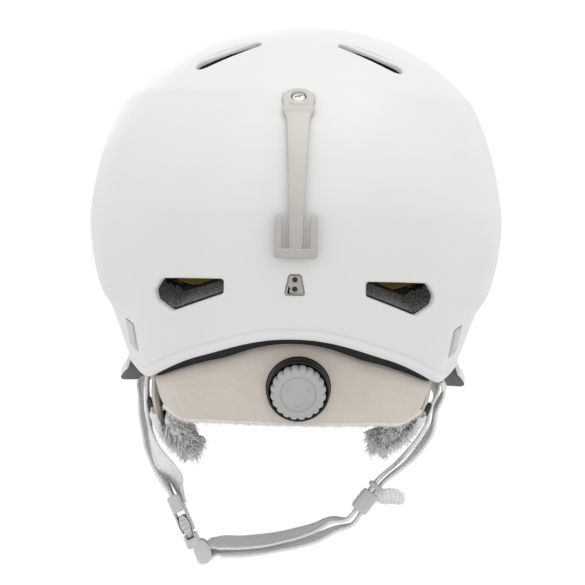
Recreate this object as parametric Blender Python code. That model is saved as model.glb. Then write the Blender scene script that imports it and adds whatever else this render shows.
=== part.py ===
"""Ski helmet: hard shell with a small brim, foam liner, low-friction slip liner, comfort pads,
neck roll with a dial fit system, ear pads, goggle clip and a chin strap with a side-release buckle.

Frame: metres, +Z up, the brim faces -Y, the wearer's left is +X.  The origin is the centre of the
head's reference plane, where the wearer's head fills the helmet.
"""
import math

import bmesh
import bpy
import numpy as np
from mathutils import Matrix, Vector

# ------------------------------------------------------------------ driving dimensions (metres)
GAP = 0.0003                    # play left between two pieces that touch

# Outer form of the shell.  "end" is the distance from the plan centre along Y.
CROWN_Z = 0.130
PLAN_CENTRE_Y = 0.008
PLAN_POWER = 2.25               # 2 would be an ellipse; more is squarer
SIDE = dict(upper=(0.0927, 0.0890), lower=(0.1090, 0.0280), slopes=(50, 63.5, 85.4), taper=0.37)
REAR = dict(upper=(0.0930, 0.0868), lower=(0.1260, 0.0226), slopes=(37, 48, 83), taper=0.28)
FRONT = dict(upper=(0.1030, 0.0925), lower=(0.1360, 0.0330), slopes=(40, 52, 82), taper=0.12)
TAPER_KNEE = 0.044              # depth below the lower crease where the wall becomes straight
SIDE_TUCK = 0.0030              # step inwards below the side vents
SIDE_TUCK_DEPTH = (0.040, 0.050)
LOWER_UNIT = 0.050              # one level below the lower crease

# Height of the shell's lower edge by angle from the side (-90 front, 0 side, 90 rear centre).
HEM = ((-90, -0.004), (-70, -0.012), (-52, -0.036), (-38, -0.046), (-15, -0.047), (8, -0.050),
       (28, -0.0587), (62, -0.0487), (90, -0.0403))

SHELL_WALL = 0.0028
FOAM_OUTER, FOAM_INNER = 0.0033, 0.0225          # depths below the shell's outer surface
SLIP_OUTER, SLIP_INNER = 0.0255, 0.0264
PAD_OUTER, PAD_INNER = 0.0279, 0.0330
SLIP_ANCHOR_RADIUS, SLIP_ANCHOR_DEPTHS, SLIP_ANCHOR_LEVEL = 0.0050, (0.0239, 0.0250), 1.62

# Vents, as outlines seen from the rear (X, Z) and from the side (Y, Z), right-hand half mirrored.
REAR_VENT = ((0.0353, -0.0114), (0.0664, -0.0106), (0.0704, -0.0164), (0.0692, -0.0211),
             (0.0610, -0.0268), (0.0353, -0.0185))
SIDE_VENT = ((0.030, -0.0085), (-0.026, -0.0070), (-0.034, -0.0120), (-0.031, -0.0180),
             (-0.021, -0.0215), (0.030, -0.0165))
REAR_CHANNEL_Y = (0.160, 0.060)       # a rear channel runs between these, a side channel between these in X
SIDE_CHANNEL_X = (0.112, 0.060)
REAR_CUT_END, SIDE_CUT = 0.080, (0.130, 0.088)      # the same for the windows in the shell
SLOT_CUT, SLOT_NARROWS = (0.020, -0.042), 0.9      # heights over the crown's surface, and the taper
TOP_VENT = dict(outer=(0.0520, 0.0700, 0.0980), inner=(0.0210, 0.0640, 0.1160), widths=(0.0085, 0.0050))
FRONT_VENT = dict(outer=(0.0500, -0.0660, 0.1040), inner=(0.0210, -0.0560, 0.1210), widths=(0.0085, 0.0050))

# Brim
BRIM_HALF_SPAN = 56             # degrees each side of the front
BRIM_REACH = (0.022, 0.005)     # at the front and at the temples
BRIM_DROP = (0.014, 0.012)
BRIM_ROOT_RISE = 0.0055         # above the shell's lower edge
BRIM_THICKNESS = (0.0042, 0.0026)     # measured upright, at the root and at the edge
BRIM_HOLLOW = 0.0009            # how far the top dips between root and edge

CUT_REACH = 0.012               # how far a cutting tool runs past the surface it cuts

# Goggle clip on the rear centre line
CLIP_LEAN = 0.14                # radians by which its screw leans down from the shell's normal
CLIP_CUP_RADIUS, CLIP_CUP_DEPTH = 0.0082, 0.0008
CLIP_BORE_RADIUS = 0.0026
CLIP_INSERT_RADII, CLIP_INSERT_DEPTHS = (0.0023, 0.0046), (0.0050, 0.0108)
CLIP_COLLAR = ((0.0044, 0.0018), (0.0044, 0.0004), (0.0023, 0.0004), (0.0023, -0.0005),
               (0.0078, -0.0005), (0.0078, 0.0012), (0.0070, 0.0018))
CLIP_SCREW = ((0, 0.0026), (0.0024, 0.0024), (0.0040, 0.0014), (0.0040, 0.0007),
              (0.0020, 0.0007), (0.0020, -0.0100), (0, -0.0100))
CLIP_SCREW_Z = 0.0800
CLIP_HINGE_Z = 0.0720
CLIP_END_Z = -0.0005
CLIP_THICKNESS = 0.0024
CLIP_STAND_OFF = (0.0004, 0.0034)     # at the collar and at the crossbar
CLIP_HALF_WIDTHS = (0.0058, 0.0035)
CROSSBAR_HALF, CROSSBAR_HEIGHT = 0.0105, 0.0044
PRONG_WIDTH, PRONG_HEIGHT = 0.0037, 0.0170

# Accessory plate below the clip
PLATE_Z, PLATE_HEIGHT, PLATE_HALF_WIDTHS = -0.0137, 0.0096, (0.0026, 0.0046)
PLATE_SUNK, PLATE_RECESS = 0.0009, 0.0012
PLATE_SCREW_RADIUS, PLATE_SCREW_HEIGHTS = 0.0013, (("top", 0.0027), ("bottom", -0.0020))
PLATE_HOLE_RADIUS = 0.0009
PLATE_SCREW = ((0, 0.0007), (PLATE_SCREW_RADIUS, 0.0007), (PLATE_SCREW_RADIUS, 0.0004), (0.0006, 0.0004),
               (0.0006, -0.0030), (0, -0.0030))

# Blank name plates at the lower rear corners: a leaning parallelogram, seen on the wearer's right
BADGE_ANGLE, BADGE_Z = math.radians(25.5), -0.0372
BADGE_OUTLINE = ((-0.0105, 0.0052), (0.0020, 0.0092), (0.0105, -0.0052), (-0.0020, -0.0092))
BADGE_SHARE = 0.93              # of its recess
BADGE_DEPTHS = (-0.0009, 0.0006)

# Dial fit system
DIAL_CENTRE = Vector((-0.0028, 0.1085, -0.0653))
DIAL_TILT = math.radians(18)    # the dial's face looks down by this much
DIAL_RING_RADIUS, DIAL_BORE_RADIUS, KNOB_RADIUS = 0.0158, 0.0146, 0.0139
DIAL_RING_DEPTH, DIAL_FLOOR_DEPTH, DIAL_RING_HEIGHT = -0.0125, -0.0108, 0.0010
SHAFT_RADIUS, SHAFT_BORE_RADIUS, DIAL_SCREW_RADII = 0.0026, 0.0014, (0.0011, 0.0026)
KNOB_SCALLOPS, SCALLOP_DEPTH = 20, 0.0009
KNOB_LAYERS = ((0.97, -0.0020), (1.0, 0.0028), (0.93, 0.0056), (0.64, 0.0068))       # scale and height
PINION_PITCH_RADIUS = 0.0050
PINION_TEETH = 10
PINION_TIP, PINION_ROOT = 0.0006, -0.0008
PINION_DEPTHS, RACK_DEPTHS = (-0.0182, -0.0150), (-0.0182, -0.0158)
RACK_START, RACK_TEETH, RACK_TIP, RACK_ROOT, RACK_BACK = -0.0212, 21, 0.0060, 0.0072, 0.0110
CRADLE_HALF, CRADLE_DEPTHS = (0.0330, 0.0140), (-0.0222, -0.0204)

# Neck roll, by angle from the side: lower edge heights, and how far its face sits inside the skin
ROLL_ENDS = (24, 156)
ROLL_BOTTOM = ((20, -0.0740), (42, -0.0835), (90, -0.0855))
ROLL_SET_IN = ((20, 0.0015), (60, 0.0095), (90, 0.0115))
ROLL_THICKNESS, ROLL_PUFF = 0.0074, 0.0022

# Ear pads: the outline of a cross-section (X, Z) and the reach along Y
EAR_SECTION = ((0.0735, -0.0545), (0.0735, -0.0700), (0.0695, -0.0840), (0.0610, -0.0945),
               (0.0500, -0.0990))
EAR_Y = (-0.040, 0.043)
EAR_THICKNESS, FLEECE_THICKNESS = 0.0040, 0.0060
RIGHT_EAR_LEAN = math.radians(11)

# Webbing, and the plastic anchors that hold it in the foam's lower edge
WEB_WIDTH, WEB_THICKNESS = 0.0150, 0.0016
TAB_WIDTH = 0.0120
ANCHORS = dict(front=(0.0738, -0.0400, -0.0455), rear=(0.0758, 0.0330, -0.0470))
ANCHOR_SIZE = (0.0052, 0.0170, 0.0075)
ANCHOR_CLEARANCE = 0.0042       # from an anchor down to where its strap starts

# Chin strap and buckle.  The chin strap swings about a line along Y at the right-hand straps, and
# the buckle's axis is square to the line from that pivot, so the plug draws straight out.
STRAP_PIVOT = Vector((-0.0745, 0.0, -0.0762))
BUCKLE_MIDDLE = Vector((0.0556, -0.0060, -0.1358))      # half way down the socket's cavity
SOCKET_LENGTH, SOCKET_WIDTH, SOCKET_THICKNESS = 0.0215, 0.0240, 0.0072
CAVITY_START, CAVITY_HALF = 0.0095, 0.0026
TONGUE_START, TONGUE_HALF, TONGUE_HALF_WIDTH = 0.0115, 0.0018, 0.0055
PRONG_PAD = (0.0078, 0.0119)                            # across the buckle
PRONG_HINGE = (0.0225, 0.0100)                          # along and across the buckle
PRONG_OUTLINE = ((-0.0110, 0.45), (-0.0090, 0.95), (-0.0055, 1.0), (-0.0020, 0.92), (0.0010, 0.85),
                 (0.0018, 0.6), (0.0018, 0.1), (-0.0010, 0.0), (-0.0100, 0.0))
PLUG_END = 0.0300
CHEEK_RADIUS, CHEEK_HALF, CHEEK_PLACE = 0.0052, 0.0012, (0.0335, 0.0100, -0.0030)
CHEEK_STRETCH = (1.30, 0.85, 1, 1)
PLUG_BARS = (("upper", 0.0300, -0.0010), ("lower", 0.0372, -0.0012))       # along and through
PLUG_BAR_HALF, PLUG_BAR_HALF_LENGTH = (0.0010, 0.0011), 0.0100
STRAP_SIDE_STEP = 0.0028        # how far each left strap stands off the buckle's middle plane
CHIN_STARTS = (0.0322, 0.0372)  # along the buckle: the chin strap and the tail under it
CHIN_START_THROUGH = -0.0080

KEEPER_CENTRE = Vector((-0.0400, -0.0080, -0.1215))
KEEPER_AXIS = Vector((-0.60, 0.0, 0.80))
KEEPER_HALF, KEEPER_MOUTH_HALF = (0.0046, 0.0096, 0.0062), (0.0033, 0.0085)
LOOP_HALF, LOOP_HEIGHTS = (0.0043, 0.0095), (0.0070, 0.0100)

# Colours (linear RGB), roughness, metallic
WHITE = ((0.83, 0.83, 0.82), 0.45, 0.0)
WARM_GREY = ((0.50, 0.48, 0.45), 0.50, 0.0)
BLACK_FOAM = ((0.020, 0.020, 0.021), 0.85, 0.0)
YELLOW = ((0.50, 0.40, 0.08), 0.45, 0.0)
BEIGE = ((0.50, 0.45, 0.39), 0.90, 0.0)
FLEECE = ((0.48, 0.47, 0.46), 0.95, 0.0)
WEB_GREY = ((0.62, 0.62, 0.61), 0.80, 0.0)
BUCKLE_GREY = ((0.52, 0.52, 0.51), 0.45, 0.0)
BLACK = ((0.015, 0.015, 0.015), 0.45, 0.0)
STEEL = ((0.60, 0.60, 0.60), 0.25, 1.0)
SILVER = ((0.45, 0.44, 0.43), 0.35, 1.0)


# ------------------------------------------------------------------ mesh helpers
def material(name, finish):
    """A Principled material with one colour, roughness and metallic value."""
    made = bpy.data.materials.new(name)
    made.use_nodes = True
    shader = made.node_tree.nodes["Principled BSDF"]
    colour, roughness, metallic = finish
    shader.inputs["Base Color"].default_value = (*colour, 1.0)
    shader.inputs["Roughness"].default_value = roughness
    shader.inputs["Metallic"].default_value = metallic
    made.diffuse_color = (*colour, 1.0)
    return made


def solid(name, points, faces, finish, place=None):
    """A closed mesh object whose faces are made to point outwards."""
    mesh = bpy.data.meshes.new(name)
    mesh.from_pydata([tuple(map(float, p)) for p in points], [], [tuple(map(int, f)) for f in faces])
    work = bmesh.new()
    work.from_mesh(mesh)
    bmesh.ops.recalc_face_normals(work, faces=work.faces)
    work.to_mesh(mesh)
    work.free()
    mesh.shade_smooth()
    mesh.set_sharp_from_angle(angle=math.radians(35))
    made = bpy.data.objects.new(name, mesh)
    if finish is not None:
        mesh.materials.append(material(name, finish))
    bpy.context.scene.collection.objects.link(made)
    if place is not None:
        made.matrix_world = place
    return made


def cutter(made):
    """Marks an object as a cutting tool, which is no part of the helmet."""
    made.hide_render = True
    made.display_type = "WIRE"
    return made


def combine(target, tool, operation="DIFFERENCE"):
    step = target.modifiers.new(operation.title(), "BOOLEAN")
    step.operation = operation
    step.solver = "EXACT"
    step.object = cutter(tool)


def slab(name, outer, inner, finish, mask=None, place=None):
    """A closed slab between two grids of points; mask tells which cells are filled."""
    rows, cols = outer.shape[:2]
    if mask is None:
        mask = np.ones((rows - 1, cols - 1), bool)
    points = np.concatenate([outer.reshape(-1, 3), inner.reshape(-1, 3)])
    back = rows * cols
    faces = []

    def filled(r, c):
        return 0 <= r < rows - 1 and 0 <= c < cols - 1 and mask[r, c]

    for r in range(rows - 1):
        for c in range(cols - 1):
            if not mask[r, c]:
                continue
            a, b, d, e = r * cols + c, r * cols + c + 1, (r + 1) * cols + c + 1, (r + 1) * cols + c
            faces.append((a, b, d, e))
            faces.append((back + e, back + d, back + b, back + a))
            sides = (((-1, 0), (a, b)), ((0, 1), (b, d)), ((1, 0), (d, e)), ((0, -1), (e, a)))
            for (dr, dc), (p, q) in sides:
                if not filled(r + dr, c + dc):
                    faces.append((q, p, back + p, back + q))
    used = sorted({i for f in faces for i in f})
    index = {old: new for new, old in enumerate(used)}
    return solid(name, points[used], [[index[i] for i in f] for f in faces], finish, place)


def dome(name, outer, inner, finish):
    """A closed cap between two sets of rings; ring 0 of each is its pole."""
    count = outer.shape[1]
    points, faces, last_rings = [], [], []
    for rings in (outer, inner):
        pole = len(points)
        points.append(rings[0, 0])
        for ring in rings[1:]:
            points.extend(ring)
        first = pole + 1
        faces += [(pole, first + i, first + (i + 1) % count) for i in range(count)]
        for r in range(len(rings) - 2):
            a, b = first + r * count, first + (r + 1) * count
            faces += [(a + i, b + i, b + (i + 1) % count, a + (i + 1) % count) for i in range(count)]
        last_rings.append(first + (len(rings) - 2) * count)
    a, b = last_rings
    faces += [(a + i, b + i, b + (i + 1) % count, a + (i + 1) % count) for i in range(count)]
    return solid(name, points, faces, finish)


def prism(name, outline_a, outline_b, finish, place=None):
    """A solid between two matching closed outlines."""
    count = len(outline_a)
    faces = [tuple(range(count)), tuple(range(2 * count - 1, count - 1, -1))]
    faces += [(i, i + count, (i + 1) % count + count, (i + 1) % count) for i in range(count)]
    return solid(name, list(outline_a) + list(outline_b), faces, finish, place)


def box(name, low, high, finish, place=None, bevel=0.0):
    """A box between two corners, with its edges rounded by a bevel."""
    (x0, y0, z0), (x1, y1, z1) = low, high
    ring = ((x0, y0), (x1, y0), (x1, y1), (x0, y1))
    made = prism(name, [(x, y, z0) for x, y in ring], [(x, y, z1) for x, y in ring], finish, place)
    if bevel > 0:
        step = made.modifiers.new("Rounded", "BEVEL")
        step.width = bevel
        step.segments = 2
        step.limit_method = "ANGLE"
    return made


def turned(name, profile, finish, place=None, segments=32):
    """A solid of revolution about local Z from (radius, height) points, a closed outline.

    Points with radius 0 close the solid on its axis; without them it is a ring.
    """
    angles = np.linspace(0, 2 * math.pi, segments, endpoint=False)
    points, rings = [], []
    for radius, height in profile:
        if radius == 0:
            rings.append([len(points)])
            points.append((0.0, 0.0, height))
        else:
            rings.append(list(range(len(points), len(points) + segments)))
            points.extend((radius * math.cos(a), radius * math.sin(a), height) for a in angles)
    faces = []
    for a, b in zip(rings, rings[1:] + rings[:1]):
        if len(a) == 1 and len(b) == 1:
            continue
        for i in range(segments):
            j = (i + 1) % segments
            corners = [a[i % len(a)], a[j % len(a)], b[j % len(b)], b[i % len(b)]]
            faces.append([v for k, v in enumerate(corners) if v not in corners[:k]])
    return solid(name, points, faces, finish, place)


def drum(name, radius, low, high, finish, place, segments=20):
    """A plain cylinder along local Z."""
    return turned(name, ((0, high), (radius, high), (radius, low), (0, low)), finish, place, segments)


def frame_at(origin, normal, up=Vector((0, 0, 1))):
    """A placement whose local Z is the normal and whose local Y leans towards up."""
    z = Vector(normal).normalized()
    x = up.cross(z).normalized()
    y = z.cross(x)
    return Matrix.Translation(origin) @ Matrix((x, y, z)).transposed().to_4x4()


def route_lengths(points):
    """Distance travelled at each point of a route."""
    steps = np.linalg.norm(np.diff(np.array(points, float), axis=0), axis=1)
    return np.concatenate([[0.0], np.cumsum(steps)])


def smooth_path(points, count, at=None):
    """count points along a smooth curve through the given ones, which lie at the distances in at."""
    points = np.array(points, float)
    at = route_lengths(points) if at is None else at
    spans = np.diff(at)[:, None]
    rises = np.diff(points, axis=0) / spans
    inner = (rises[:-1] * spans[1:] + rises[1:] * spans[:-1]) / (spans[1:] + spans[:-1])
    slopes = np.vstack([rises[:1], inner, rises[-1:]])
    made = []
    for u in np.linspace(at[0], at[-1], count):
        k = int(np.clip(np.searchsorted(at, u, side="right") - 1, 0, len(at) - 2))
        h = at[k + 1] - at[k]
        t = (u - at[k]) / h
        made.append(points[k] * (1 + 2 * t) * (1 - t) ** 2 + h * slopes[k] * t * (1 - t) ** 2
                    + points[k + 1] * t * t * (3 - 2 * t) + h * slopes[k + 1] * t * t * (t - 1))
    return np.array(made)


def webbing(name, route, widths, finish=WEB_GREY, count=13, width=WEB_WIDTH):
    """A flat strap along a route; widths are the directions of its width at each route point."""
    path = smooth_path(route, count)
    across = smooth_path(widths, count, route_lengths(route))
    along = np.gradient(path, axis=0)
    outer, inner = [], []
    for p, w, t in zip(path, across, along):
        t = t / np.linalg.norm(t)
        w = w - t * np.dot(w, t)
        w = w / np.linalg.norm(w)
        n = np.cross(t, w)
        row = [p + w * width * k / 2 for k in (-1, 0, 1)]
        outer.append([q + n * WEB_THICKNESS / 2 for q in row])
        inner.append([q - n * WEB_THICKNESS / 2 for q in row])
    return slab(name, np.array(outer), np.array(inner), finish)


# ------------------------------------------------------------------ the shell's outer form
def curve_through(knots, x):
    """A smooth curve through (x, y) knots that never overshoots them."""
    xs, ys = np.array(knots, float).T
    steps, rises = np.diff(xs), np.diff(ys) / np.diff(xs)
    slopes = np.zeros(len(xs))
    for i in range(1, len(xs) - 1):
        if rises[i - 1] * rises[i] > 0:
            slopes[i] = 2 * rises[i - 1] * rises[i] / (rises[i - 1] + rises[i])
    x = np.clip(x, xs[0], xs[-1])
    k = np.clip(np.searchsorted(xs, x, side="right") - 1, 0, len(xs) - 2)
    t = (x - xs[k]) / steps[k]
    return (ys[k] * (1 + 2 * t) * (1 - t) ** 2 + steps[k] * slopes[k] * t * (1 - t) ** 2
            + ys[k + 1] * t * t * (3 - 2 * t) + steps[k] * slopes[k + 1] * t * t * (t - 1))


def smooth_step(x):
    x = np.clip(x, 0.0, 1.0)
    return x * x * (3 - 2 * x)


def bezier(a, b, c, d, t):
    s = 1 - t
    return a * s ** 3 + 3 * b * s * s * t + 3 * c * s * t * t + d * t ** 3


def profile(form, level):
    """Radius and height on one of the three meridians: level 0 crown, 1 and 2 the creases, more below."""
    (r1, z1), (r2, z2) = form["upper"], form["lower"]
    crown_end, band_start, band_end = (math.radians(a) for a in form["slopes"])
    chord = math.hypot(r2 - r1, z1 - z2)
    t = np.clip(level, 0, 1)
    hook = 0.30 * r1
    radius = bezier(0.0, 0.54 * r1, r1 - hook * math.cos(crown_end), r1, t)
    height = bezier(CROWN_Z, CROWN_Z, z1 + hook * math.sin(crown_end), z1, t)
    t = np.clip(level - 1, 0, 1)
    start, end = 0.32 * chord, 0.35 * chord
    band_r = bezier(r1, r1 + start * math.cos(band_start), r2 - end * math.cos(band_end), r2, t)
    band_z = bezier(z1, z1 - start * math.sin(band_start), z2 + end * math.sin(band_end), z2, t)
    below = level > 1
    radius, height = np.where(below, band_r, radius), np.where(below, band_z, height)
    depth = np.maximum(level - 2, 0) * LOWER_UNIT
    curved = np.minimum(depth, TAPER_KNEE)
    loss = form["taper"] * (curved ** 2 / (2 * TAPER_KNEE) + np.maximum(depth - TAPER_KNEE, 0))
    return radius - loss, height - depth


def side_angle(theta):
    """Degrees from the side: -90 at the front, 0 at either side, 90 at the rear centre."""
    return np.degrees(np.arcsin(np.clip(np.sin(theta), -1, 1)))


def bare_skin(theta, level):
    cos, sin = np.cos(theta), np.sin(theta)
    x_part = np.sign(cos) * np.abs(cos) ** (2 / PLAN_POWER)
    y_part = np.sign(sin) * np.abs(sin) ** (2 / PLAN_POWER)
    side_r, side_z = profile(SIDE, level)
    rear_r, rear_z = profile(REAR, level)
    front_r, front_z = profile(FRONT, level)
    end_r = np.where(sin >= 0, rear_r, front_r)
    end_z = np.where(sin >= 0, rear_z, front_z)
    depth = np.maximum(level - 2, 0) * LOWER_UNIT
    start, full = SIDE_TUCK_DEPTH
    angle = side_angle(theta)
    reach = smooth_step((angle + 52) / 22) * smooth_step((44 - angle) / 24)
    side_r = side_r - SIDE_TUCK * reach * smooth_step((depth - start) / (full - start))
    return np.stack([side_r * x_part, PLAN_CENTRE_Y + end_r * y_part,
                     side_z * cos ** 2 + end_z * sin ** 2], axis=-1)


def skin(theta, level, inset=0.0):
    """Points on the shell's outer form, or inset below it along its normal."""
    theta, level, inset = np.broadcast_arrays(np.asarray(theta, float), np.asarray(level, float),
                                              np.asarray(inset, float))
    point = bare_skin(theta, level)
    step = 0.004
    around = bare_skin(theta + step, level) - bare_skin(theta - step, level)
    down = bare_skin(theta, level + step) - bare_skin(theta, np.maximum(level - step, 0.0))
    normal = np.cross(down, around)
    size = np.linalg.norm(normal, axis=-1, keepdims=True)
    normal = np.where(size > 1e-12, normal / np.maximum(size, 1e-12), np.array([0.0, 0.0, 1.0]))
    normal = np.where((level < 1e-6)[..., None], np.array([0.0, 0.0, 1.0]), normal)
    return point - normal * inset[..., None]


def level_at(theta, height):
    """The level, below the lower crease, at which the outer form has the given height."""
    crease = bare_skin(np.asarray(theta, float), np.full(np.shape(theta), 2.0))[..., 2]
    return 2 + (crease - height) / LOWER_UNIT


def hem_level(theta, lift=0.0):
    return level_at(theta, curve_through(HEM, side_angle(theta)) + lift)


def ring_grid(count, upper_levels, lower_steps, inset, lift=0.0):
    """Rings from the crown to the hem, all round."""
    theta = np.linspace(0, 2 * math.pi, count, endpoint=False)
    rings = [skin(theta, np.full(count, level), inset) for level in upper_levels]
    last = hem_level(theta, lift)
    rings += [skin(theta, 2 + (last - 2) * part, inset) for part in lower_steps]
    return np.array(rings)


def patch(name, angles, heights, insets, finish, columns=13, rows=5):
    """A curved pad between two angles (degrees) and two heights, at two depths below the skin."""
    theta = np.radians(np.linspace(*angles, columns))[None, :]
    part = np.linspace(0, 1, rows)[:, None]
    height = heights[0] + (heights[1] - heights[0]) * part
    level = np.broadcast_to(level_for_height(theta, height), (rows, columns))
    theta = np.broadcast_to(theta, (rows, columns))
    return slab(name, skin(theta, level, insets[0]), skin(theta, level, insets[1]), finish)


def level_for_height(theta, height):
    """The level at a height anywhere below the upper crease."""
    theta, height = np.broadcast_arrays(theta, height)
    crease = bare_skin(theta, np.full(theta.shape, 2.0))[..., 2]
    low, high = np.full(theta.shape, 0.5), np.full(theta.shape, 2.0)
    for _ in range(30):
        middle = (low + high) / 2
        above = bare_skin(theta, middle)[..., 2] > height
        low, high = np.where(above, middle, low), np.where(above, high, middle)
    return np.where(height >= crease, (low + high) / 2, level_at(theta, height))


def rear_point(height, stand_off=0.0):
    """A point of the rear centre line and its outward normal, both in the YZ plane."""
    theta = np.array(math.pi / 2)
    level = level_for_height(theta, np.array(height))
    here = skin(theta, level, 0.0)
    there = skin(theta, level, -0.01)
    normal = (there - here) / 0.01
    return Vector(here + normal * stand_off), Vector(normal)


# ------------------------------------------------------------------ shell, foam and slip liner
FORM_LEVELS = (0.0, 0.16, 0.36, 0.58, 0.80, 1.0, 1.25, 1.60, 2.0)
HEM_STEPS = (0.26, 0.52, 0.78, 1.0)
SHELL_RINGS = 52
SLIP_LEVELS = (0.0, 0.16, 0.32, 0.55, 0.78, 1.0, 1.35, 1.7, 2.0)
SLIP_STEPS = (0.18, 0.36, 0.55)
SLIP_RINGS = 32
FOAM_HEM_LIFT = 0.0015


def make_shell():
    shell = dome("outer_shell", ring_grid(SHELL_RINGS, FORM_LEVELS, HEM_STEPS, 0.0),
                 ring_grid(SHELL_RINGS, FORM_LEVELS, HEM_STEPS, SHELL_WALL), WHITE)
    foam = dome("foam_liner",
                ring_grid(SHELL_RINGS, FORM_LEVELS, HEM_STEPS, FOAM_OUTER + GAP, FOAM_HEM_LIFT),
                ring_grid(SHELL_RINGS, FORM_LEVELS, HEM_STEPS, FOAM_INNER, FOAM_HEM_LIFT), BLACK_FOAM)
    slip = dome("slip_liner", ring_grid(SLIP_RINGS, SLIP_LEVELS, SLIP_STEPS, SLIP_OUTER),
                ring_grid(SLIP_RINGS, SLIP_LEVELS, SLIP_STEPS, SLIP_INNER), YELLOW)
    return shell, foam, slip


def vent_cutters(shell, foam, slip):
    """Windows in the shell and straight channels behind them through the foam and the slip liner."""
    for side in (1, -1):
        label = "left" if side > 0 else "right"

        def rear(y):
            return [(side * x, y, z) for x, z in REAR_VENT]

        def flank(x):
            return [(side * x, y, z) for y, z in SIDE_VENT]

        start, end = REAR_CHANNEL_Y
        combine(shell, prism(f"cut_rear_vent_{label}", rear(start), rear(REAR_CUT_END), None))
        combine(foam, prism(f"cut_rear_channel_{label}", rear(start), rear(end), None))
        combine(shell, prism(f"cut_side_vent_{label}", flank(SIDE_CUT[0]), flank(SIDE_CUT[1]), None))
        start, end = SIDE_CHANNEL_X
        combine(foam, prism(f"cut_side_channel_{label}", flank(start), flank(end), None))
        combine(slip, prism(f"cut_side_window_{label}", flank(start), flank(end), None))
        for place_name, vent in (("top", TOP_VENT), ("front", FRONT_VENT)):
            outline, place = slot_outline(vent, side)
            out = [place @ Vector((x, y, SLOT_CUT[0])) for x, y in outline]
            deep = [place @ Vector((SLOT_NARROWS * x, SLOT_NARROWS * y, SLOT_CUT[1])) for x, y in outline]
            combine(shell, prism(f"cut_{place_name}_vent_{label}", out, deep, None))
            combine(foam, prism(f"cut_{place_name}_channel_{label}", out, deep, None))
            combine(slip, prism(f"cut_{place_name}_window_{label}", out, deep, None))


def slot_outline(vent, side):
    """A long drop-shaped slot with round ends, and the placement on the crown it lies on."""
    outer = Vector((side * vent["outer"][0], *vent["outer"][1:]))
    inner = Vector((side * vent["inner"][0], *vent["inner"][1:]))
    middle = (outer + inner) / 2
    along = (inner - outer).normalized()
    outwards = Vector((middle.x, middle.y - PLAN_CENTRE_Y, middle.z * 1.1)).normalized()
    across = outwards.cross(along).normalized()
    normal = along.cross(across)
    place = Matrix.Translation(middle) @ Matrix((along, across, normal)).transposed().to_4x4()
    half = (inner - outer).length / 2
    outer_width, inner_width = vent["widths"]
    outline = []
    for end, radius, start in ((half, inner_width / 2, -90), (-half, outer_width / 2, 90)):
        centre = end - math.copysign(radius, end)
        for angle in range(start, start + 181, 36):
            a = math.radians(angle)
            outline.append((centre + radius * math.cos(a), radius * math.sin(a)))
    return outline, place


def make_brim():
    """A short peak that springs from the temples and stands off the forehead."""
    theta = np.radians(np.linspace(-90 - BRIM_HALF_SPAN, -90 + BRIM_HALF_SPAN, 27))
    off_centre = np.abs(np.degrees(theta) + 90) / BRIM_HALF_SPAN
    reach = BRIM_REACH[1] + (BRIM_REACH[0] - BRIM_REACH[1]) * (1 - off_centre ** 2.4)
    rise = curve_through(HEM, side_angle(theta)) + BRIM_ROOT_RISE
    root = skin(theta, level_at(theta, rise), -2 * GAP)
    outward = (root - np.array([0, PLAN_CENTRE_Y, 0])) * np.array([1.0, 1.0, 0.0])
    outward /= np.linalg.norm(outward, axis=-1, keepdims=True)
    drop = BRIM_DROP[0] + (BRIM_DROP[1] - BRIM_DROP[0]) * off_centre
    edge = root + outward * reach[:, None] - np.array([0, 0, 1.0]) * drop[:, None]
    spoke = edge - root
    parts = np.array([0.0, 0.35, 0.7, 1.0])
    hollow = np.array([0, 0, BRIM_HOLLOW])
    top = np.array([root + spoke * part - hollow * 4 * part * (1 - part) for part in parts])
    depth = BRIM_THICKNESS[0] + (BRIM_THICKNESS[1] - BRIM_THICKNESS[0]) * parts
    return slab("brim", top, top - depth[:, None, None] * np.array([0, 0, 1.0]), WHITE)


def make_pads():
    theta = np.linspace(0, 2 * math.pi, SLIP_RINGS, endpoint=False)
    faces = [np.array([skin(theta, np.full(SLIP_RINGS, level), depth) for level in SLIP_LEVELS[:3]])
             for depth in (PAD_OUTER, PAD_INNER)]
    dome("crown_pad", *faces, BEIGE)
    insets = (PAD_OUTER, PAD_INNER)
    patch("brow_pad", (-140, -40), (0.030, 0.004), insets, BEIGE, columns=15, rows=4)
    patch("side_pad_left", (-24, 26), (0.034, -0.004), insets, BEIGE, columns=8, rows=4)
    patch("side_pad_right", (154, 204), (0.034, -0.004), insets, BEIGE, columns=8, rows=4)
    patch("rear_pad", (62, 118), (0.040, 0.012), insets, BEIGE, columns=9, rows=4)


def make_slip_anchors():
    """Rubber pucks between the foam and the slip liner: front, rear and both sides."""
    for label, angle in (("left", 0), ("rear", 90), ("right", 180), ("front", 270)):
        theta = math.radians(angle)
        near, deep = (Vector(skin(theta, SLIP_ANCHOR_LEVEL, depth)) for depth in SLIP_ANCHOR_DEPTHS)
        place = frame_at(near, near - deep)
        thickness = SLIP_ANCHOR_DEPTHS[1] - SLIP_ANCHOR_DEPTHS[0]
        drum(f"slip_anchor_{label}", SLIP_ANCHOR_RADIUS, -thickness, 0, BLACK, place, 16)


# ------------------------------------------------------------------ goggle clip and accessory plate
def clip_frame():
    """The goggle clip's screw: local Z runs out of the shell."""
    point, normal = rear_point(CLIP_SCREW_Z)
    cos, sin = math.cos(CLIP_LEAN), math.sin(CLIP_LEAN)
    return frame_at(point, Vector((0, normal.y * cos - normal.z * sin, normal.z * cos + normal.y * sin)))


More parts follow.
